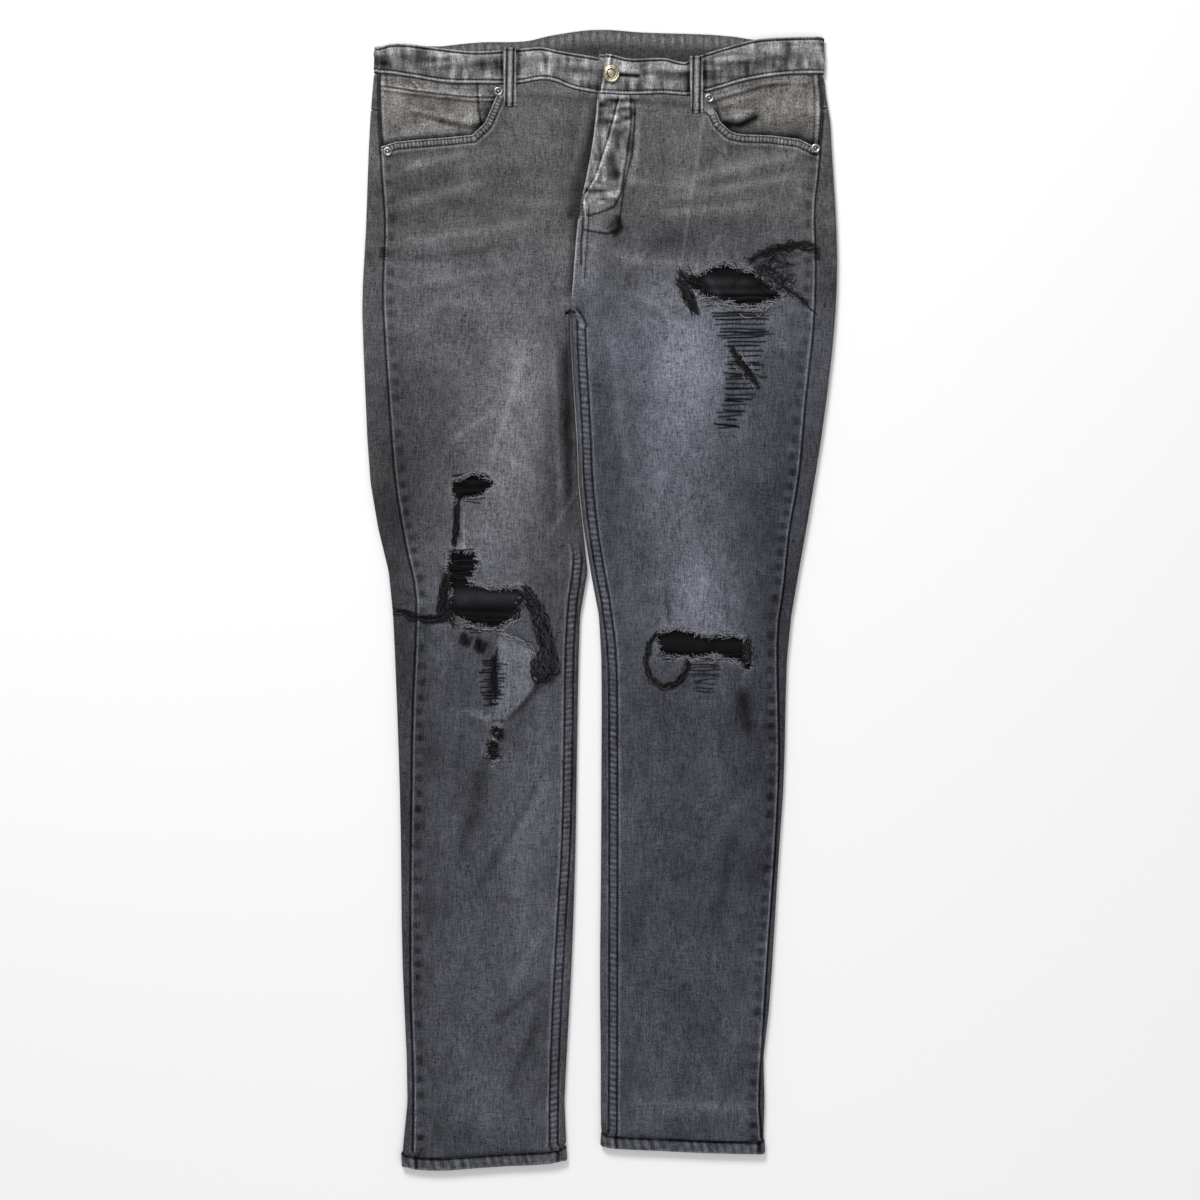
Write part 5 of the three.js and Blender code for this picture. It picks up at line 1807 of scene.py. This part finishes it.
# %% Where yarns bridge, hang and fill
PALE, GREY, DARK, GREY_BLACK = (100, 175), (55, 110), (6, 44), (10, 76)
RUNGS = [  # heights, ends at several heights, pitch, shades, radius, sway, ragged
    ((272, 160), [(272, 106, 160), (250, 112, 160), (238, 122, 154), (203, 118, 150), (185, 114, 136),
     (160, 112, 130)], 3.5, DARK, 0.72, 0.35),
    ((48, 15), [(48, -143, -116), (30, -144, -117), (16, -142, -124)], 2.7, DARK, 0.5),
    ((-10, -30), [(-10, -138, -82), (-30, -126, -88)], 1.8, DARK, 0.45),
    ((-58, -100), [(-58, -112, -90), (-98, -109, -94)], 2.7, DARK, 0.62, 0.6),
    ((-121, -130), [(-121, -102, -92), (-130, -102, -92)], 1.0, DARK, 0.6, 0.5, 1.0),
    ((-133, -151), [(-133, -107, -94), (-151, -107, -94)], 1.1, DARK, 0.6, 0.5, 1.2),
    ((-60, -88), [(-60, 84, 114), (-88, 88, 108)], 3.2, DARK),
    ((-52, -58), [(-52, 56, 138), (-58, 58, 138)], 1.2, DARK, 0.4),
    ((120, 92), [(120, -138, -104), (92, -140, -112)], 3.4, DARK, 0.5, 1.2),
    ((287, 278), [(287, 92, 162), (278, 100, 158)], 1.6, DARK, 0.4),
]
DARK_BUNDLES = [  # route, threads, spread, shades, reach, radius, height
    ([(-135, 98), (-136, 82), (-135, 66), (-139, 50)], 16, 2.2, DARK, (0.4, 1.0)),
    ([(-99, -44), (-100, -70), (-98, -98)], 14, 3.0, DARK, (0.4, 1.0)),
    ([(152, 326), (168, 330), (186, 335), (205, 333)], 6, 5.0, DARK, (0.5, 1.0)),
    ([(168, 300), (190, 286), (203, 270)], 7, 3.0, DARK, (0.6, 1.0)),
    ([(146, 300), (154, 316), (168, 326), (182, 320)], 14, 9.0, GREY_BLACK, (0.5, 1.0), 0.42),
    ([(150, 322), (160, 306), (172, 298), (186, 306)], 14, 8.0, GREY_BLACK, (0.5, 1.0), 0.42),
    ([(136, 318), (158, 330), (182, 337), (206, 334)], 9, 3.4, DARK, (0.6, 1.0), 0.42),
    ([(124, 239), (136, 222), (151, 201)], 34, 2.4, DARK, (0.3, 0.8), 0.45),
    ([(78, 308), (86, 302), (94, 296)], 26, 6.0, DARK, (0.4, 1.0), 0.42),
    ([(122, 324), (132, 310), (124, 300)], 6, 5.0, DARK, (0.6, 1.0), 0.36),
    ([(82, 300), (92, 306), (98, 298), (94, 288)], 8, 4.0, DARK, (0.6, 1.0), 0.36),
    ([(-142, 28), (-147, 10), (-151, -8), (-143, -22)], 34, 5.0, DARK, (0.3, 0.9), 0.5),
    ([(-134, 92), (-137, 72), (-139, 52)], 12, 2.6, DARK, (0.4, 1.0), 0.4),
    ([(140, -34), (141, -52), (136, -66)], 24, 5.0, DARK, (0.3, 0.9)),
    ([(-140, 4), (-144, -12), (-136, -24)], 22, 4.5, DARK, (0.4, 1.0)),
    ([(-71, 12), (-74, 0), (-82, -24)], 16, 3.5, DARK, (0.3, 0.9)),
]
BAR_TACKS = [  # corners, angle, pitch, shades, radius
    ((-131, -43), (-124, -32), 1.2, 1.3, DARK, 0.35),
    ((-117, -49), (-110, -37), 1.2, 1.3, DARK, 0.35),
    ((-209, 326), (-200, 334), 0.1, 1.7, DARK, 0.4),
    ((202, 323), (209, 333), 0.1, 1.7, DARK, 0.4),
    ((10, 348), (17, 357), 0.9, 1.5, DARK, 0.4),
]
PALE_BUNDLES = [  # as the dark ones
    ([(60, 16), (63, 0), (66, -26)], 8, 2.0, GREY, (0.2, 0.5), 0.22, 0.2),
    ([(128, 240), (142, 222), (154, 204)], 22, 2.4, PALE, (0.1, 0.25), 0.25, 0.3),
    ([(121, 234), (133, 216), (147, 198)], 22, 2.4, PALE, (0.1, 0.25), 0.25, 0.3),
    ([(-104, -153), (-100, -154), (-94, -150)], 22, 2.2, PALE, (0.2, 0.6), 0.25, 0.3),
    ([(-106, -118), (-98, -117), (-90, -119)], 18, 2.0, PALE, (0.2, 0.6), 0.25, 0.3),
    ([(-104, -131), (-98, -132), (-92, -130)], 14, 1.8, PALE, (0.2, 0.6), 0.25, 0.3),
    ([(80, 304), (100, 314), (118, 322), (148, 312)], 60, 4.0, PALE, (0.06, 0.16), 0.28, 0.4),
    ([(92, 286), (115, 280), (150, 274), (172, 282)], 90, 5.0, PALE, (0.05, 0.14), 0.28, 0.4),
    ([(52, -30), (78, -24), (102, -32), (140, -34)], 70, 4.0, PALE, (0.05, 0.14), 0.28, 0.4),
    ([(58, -54), (84, -57), (110, -54), (138, -62)], 80, 4.0, PALE, (0.05, 0.14), 0.28, 0.4),
    ([(-112, 14), (-93, 13), (-74, 13)], 50, 3.5, PALE, (0.06, 0.18), 0.28, 0.4),
    ([(-140, -16), (-113, -28), (-92, -28), (-78, -16)], 80, 4.0, PALE, (0.05, 0.16), 0.28, 0.4),
    ([(-140, 112), (-120, 121), (-100, 112)], 40, 3.0, PALE, (0.06, 0.2), 0.26, 0.4),
    ([(-96, -32), (-80, -36), (-66, -46), (-60, -56)], 50, 2.5, PALE, (0.1, 0.3), 0.26, 0.4),
]
print("ladders:", len(RUNGS), "bundles:", len(DARK_BUNDLES) + len(PALE_BUNDLES), "tacks:", len(BAR_TACKS))

# %% Yarns of each rip
LARGE_RIP = 1500  # area from which a rip has a long fringe
pale, dark = [], []
for side in SIDES:
    for hole in PANELS[side]["holes"]:
        length = 5.5 if abs(loop_area(hole)) > LARGE_RIP else 3.2
        pale += fringe(hole, 0.95, 0.75, length, PALE)
        pale += fringe(hole, 0.7, 0.9, 0.6 * length, GREY, 0.8, 0.9)
        dark += fringe(hole, 0.35, 1.4, 0.9 * length, DARK, 0.5, 0.8)
for yarns, way, rows in ((dark, rungs, RUNGS), (dark, bundle, DARK_BUNDLES), (dark, darn, BAR_TACKS),
                         (pale, bundle, PALE_BUNDLES)):
    for row in rows:
        yarns += way(*row)
yarn_mesh("pale_fringe", pale)
yarn_mesh("dark_yarns", dark)

# %% Thread loops that hang out of the rips
HANGING = {  # route of each, then threads, spread, shades, reach and radius
    "thread_loop_knee_left": bundle(
        [(-78, 14), (-66, 2), (-57, -16), (-52, -38), (-47, -57), (-48, -70), (-56, -76), (-62, -66),
         (-60, -50)],
        60, 6.2, (4, 74), (0.3, 0.95), 0.6),
    "thread_loop_knee_right": bundle(
        [(56, -30), (47, -40), (43, -58), (47, -74), (60, -83), (72, -80), (80, -72), (84, -60), (76, -52)],
        32, 2.4, (4, 72), (0.35, 0.95), 0.55),
    "thread_loop_thigh": bundle(
        [(74, 312), (78, 300), (84, 288), (91, 270)], 38, 5.2, (3, 60), (0.35, 1.0), 0.55),
    "thread_strand_knee": bundle(
        [(-140, -10), (-150, -16), (-164, -18), (-178, -14), (-195, -8)],
        22, 3.4, (4, 50), (0.5, 1.0), 0.6),
}
for node, yarns in HANGING.items():
    yarn_mesh(node + "_yarns", yarns, node)

# %% [markdown]
# ## Zip
# The closed zip lies behind the flap of the fly, where none of its teeth show. So the plain strip
# from the frame stays as it is, and only gets a woven tape's dark colour.

# %% Zip behind the fly
zip_tape = bpy.data.objects["zip"]
zip_tape.data.materials.clear()
zip_tape.data.materials.append(woven("zip tape", (0.012, 0.012, 0.014), 0.8, 0.5, 0.8, 0.6))
print("zip tape", [round(side / MM, 1) for side in zip_tape.dimensions], "mm")

# %% [markdown]
# ## Button and rivets
# The shank button and the rivets are pressed metal, so each is turned from a profile: a rolled rim,
# plain rings, and a low dome. The button face carries rings only.


# %% Turning a profile
# dark finish for the grooves of the button and rivets: painted shade
GROOVE_SHADE_METAL = metal("painted shade in grooves", (0.1, 0.095, 0.09), (0.02, 0.02, 0.02), 0.55)
RAISED = 0.02  # of the middle point over the innermost ring


def turned(name, node, profile, count, finish, groove, wide=1.0):
    """profile holds radius and height; groove says which of its steps get the dark groove finish, a painted
    shade.
    """
    place = np.array(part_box(node)).mean(axis=0)[:2] / MM
    profile = np.array(profile, float)
    angle = 2 * math.pi * np.arange(count) / count
    ring = np.stack([place[0] + wide * profile[:, :1] * np.cos(angle),
                     place[1] + profile[:, :1] * np.sin(angle),
                     np.repeat(profile[:, 1:], count, axis=1)], axis=-1)
    ends = [(*place, profile[0, 1] + RAISED), (*place, profile[-1, 1])]
    verts = np.concatenate([ring.reshape(-1, 3), ends])
    index = np.arange(ring.shape[0] * count).reshape(ring.shape[0], count)
    faces = []
    for r in range(len(index) - 1):
        for c in range(count):
            e = (c + 1) % count
            faces.append((index[r, c], index[r + 1, c], index[r + 1, e], index[r, e]))
    top, bottom = len(verts) - 2, len(verts) - 1
    faces += [(top, index[0, c], index[0, (c + 1) % count]) for c in range(count)]
    faces += [(bottom, index[-1, (c + 1) % count], index[-1, c]) for c in range(count)]
    thing = new_object(name, verts, faces, finish)
    thing.data.materials.append(GROOVE_SHADE_METAL)
    for k, polygon in enumerate(thing.data.polygons):
        if groove[0] <= k // count < groove[1]:
            polygon.material_index = 1
    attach(thing, "root")
    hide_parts(node)
    print(name, "is", round(2 * wide * profile[:, 0].max(), 1), "mm wide, top at", profile[:, 1].max())


# %% Turned metal
BUTTON_PROFILE = [
    (0.3, 10.35), (2.6, 10.3), (3.6, 10.2), (3.9, 9.85), (4.3, 9.85), (4.7, 10.15), (6.0, 10.0),
    (6.4, 9.6), (6.8, 9.6), (7.2, 9.9), (7.9, 9.65), (8.4, 9.1), (8.5, 8.4), (8.2, 7.9), (6.5, 7.6),
    (2.0, 7.6), (1.9, 5.0),
]
RIVET_PROFILE = [
    (0.2, 9.5), (0.9, 9.4), (1.2, 8.8), (1.6, 8.6), (2.1, 8.8), (2.5, 9.5), (3.3, 9.7), (3.9, 9.4),
    (4.4, 8.7), (4.4, 6.7),
]
turned("button_metal", "button", BUTTON_PROFILE, 48, BRASS, (2, 5), 0.93)
for number in range(1, 5):
    turned(f"rivet_metal_{number}", f"rivet_{number}", RIVET_PROFILE, 32, NICKEL, (1, 4))

# %% [markdown]
# ## Camera, floor and light
# Jeans sold by mail are laid flat and seen from straight above, so the camera looks down with a
# long lens. One square light above the waist picks out seams and puckers, a larger one from the
# hems fills their shadows, and a pale floor gives a white ground.

# %% Camera, floor and light
SENSOR, LENS = 36, 90
FRAME_WIDTH = 1.14  # metres of floor across the picture
camera = bpy.data.objects.new("camera", bpy.data.cameras.new("camera"))
camera.data.sensor_width = SENSOR
camera.data.lens = LENS
camera.location = (0, 0, FRAME_WIDTH * LENS / SENSOR)
bpy.context.scene.collection.objects.link(camera)
bpy.context.scene.camera = camera


def softbox(name, place, size, power):
    """A square light at a place, aimed at the middle of the jeans."""
    light = bpy.data.objects.new(name, bpy.data.lights.new(name, "AREA"))
    light.data.shape = "RECTANGLE"
    light.data.size = light.data.size_y = size
    light.data.energy = power
    bpy.context.scene.collection.objects.link(light)
    x, y, z = place
    light.location = place
    light.rotation_euler = (math.atan2(math.hypot(x, y), z), 0, math.atan2(-y, -x) - math.pi / 2)


softbox("key", (-0.9, 2.2, 2.0), 1.0, 76)
softbox("fill", (0.7, -1.9, 2.5), 2.5, 31)
world = bpy.context.scene.world or bpy.data.worlds.new("studio")
bpy.context.scene.world = world
world.use_nodes = True
world.node_tree.nodes["Background"].inputs["Color"].default_value = (1, 1, 1, 1)
world.node_tree.nodes["Background"].inputs["Strength"].default_value = 0.4
bpy.context.scene.view_settings.view_transform = "Standard"
REACH, DROP = 6, -0.0001  # half width of the floor, and its height just under the cloth
floor_mesh = bpy.data.meshes.new("floor")
corners = ((-REACH, -REACH), (REACH, -REACH), (REACH, REACH), (-REACH, REACH))
floor_mesh.from_pydata([(x, y, DROP) for x, y in corners], [], [(0, 1, 2, 3)])
floor = bpy.data.objects.new("floor", floor_mesh)
bpy.context.scene.collection.objects.link(floor)
paint, _, _, floor_shader = tree_of("floor paint")
floor_shader.inputs["Base Color"].default_value = (0.9, 0.9, 0.9, 1)
floor_shader.inputs["Roughness"].default_value = 0.9
floor_shader.inputs["Specular IOR Level"].default_value = 0.1
floor_mesh.materials.append(paint)
print("camera", round(camera.location.z, 2), "m above the floor")
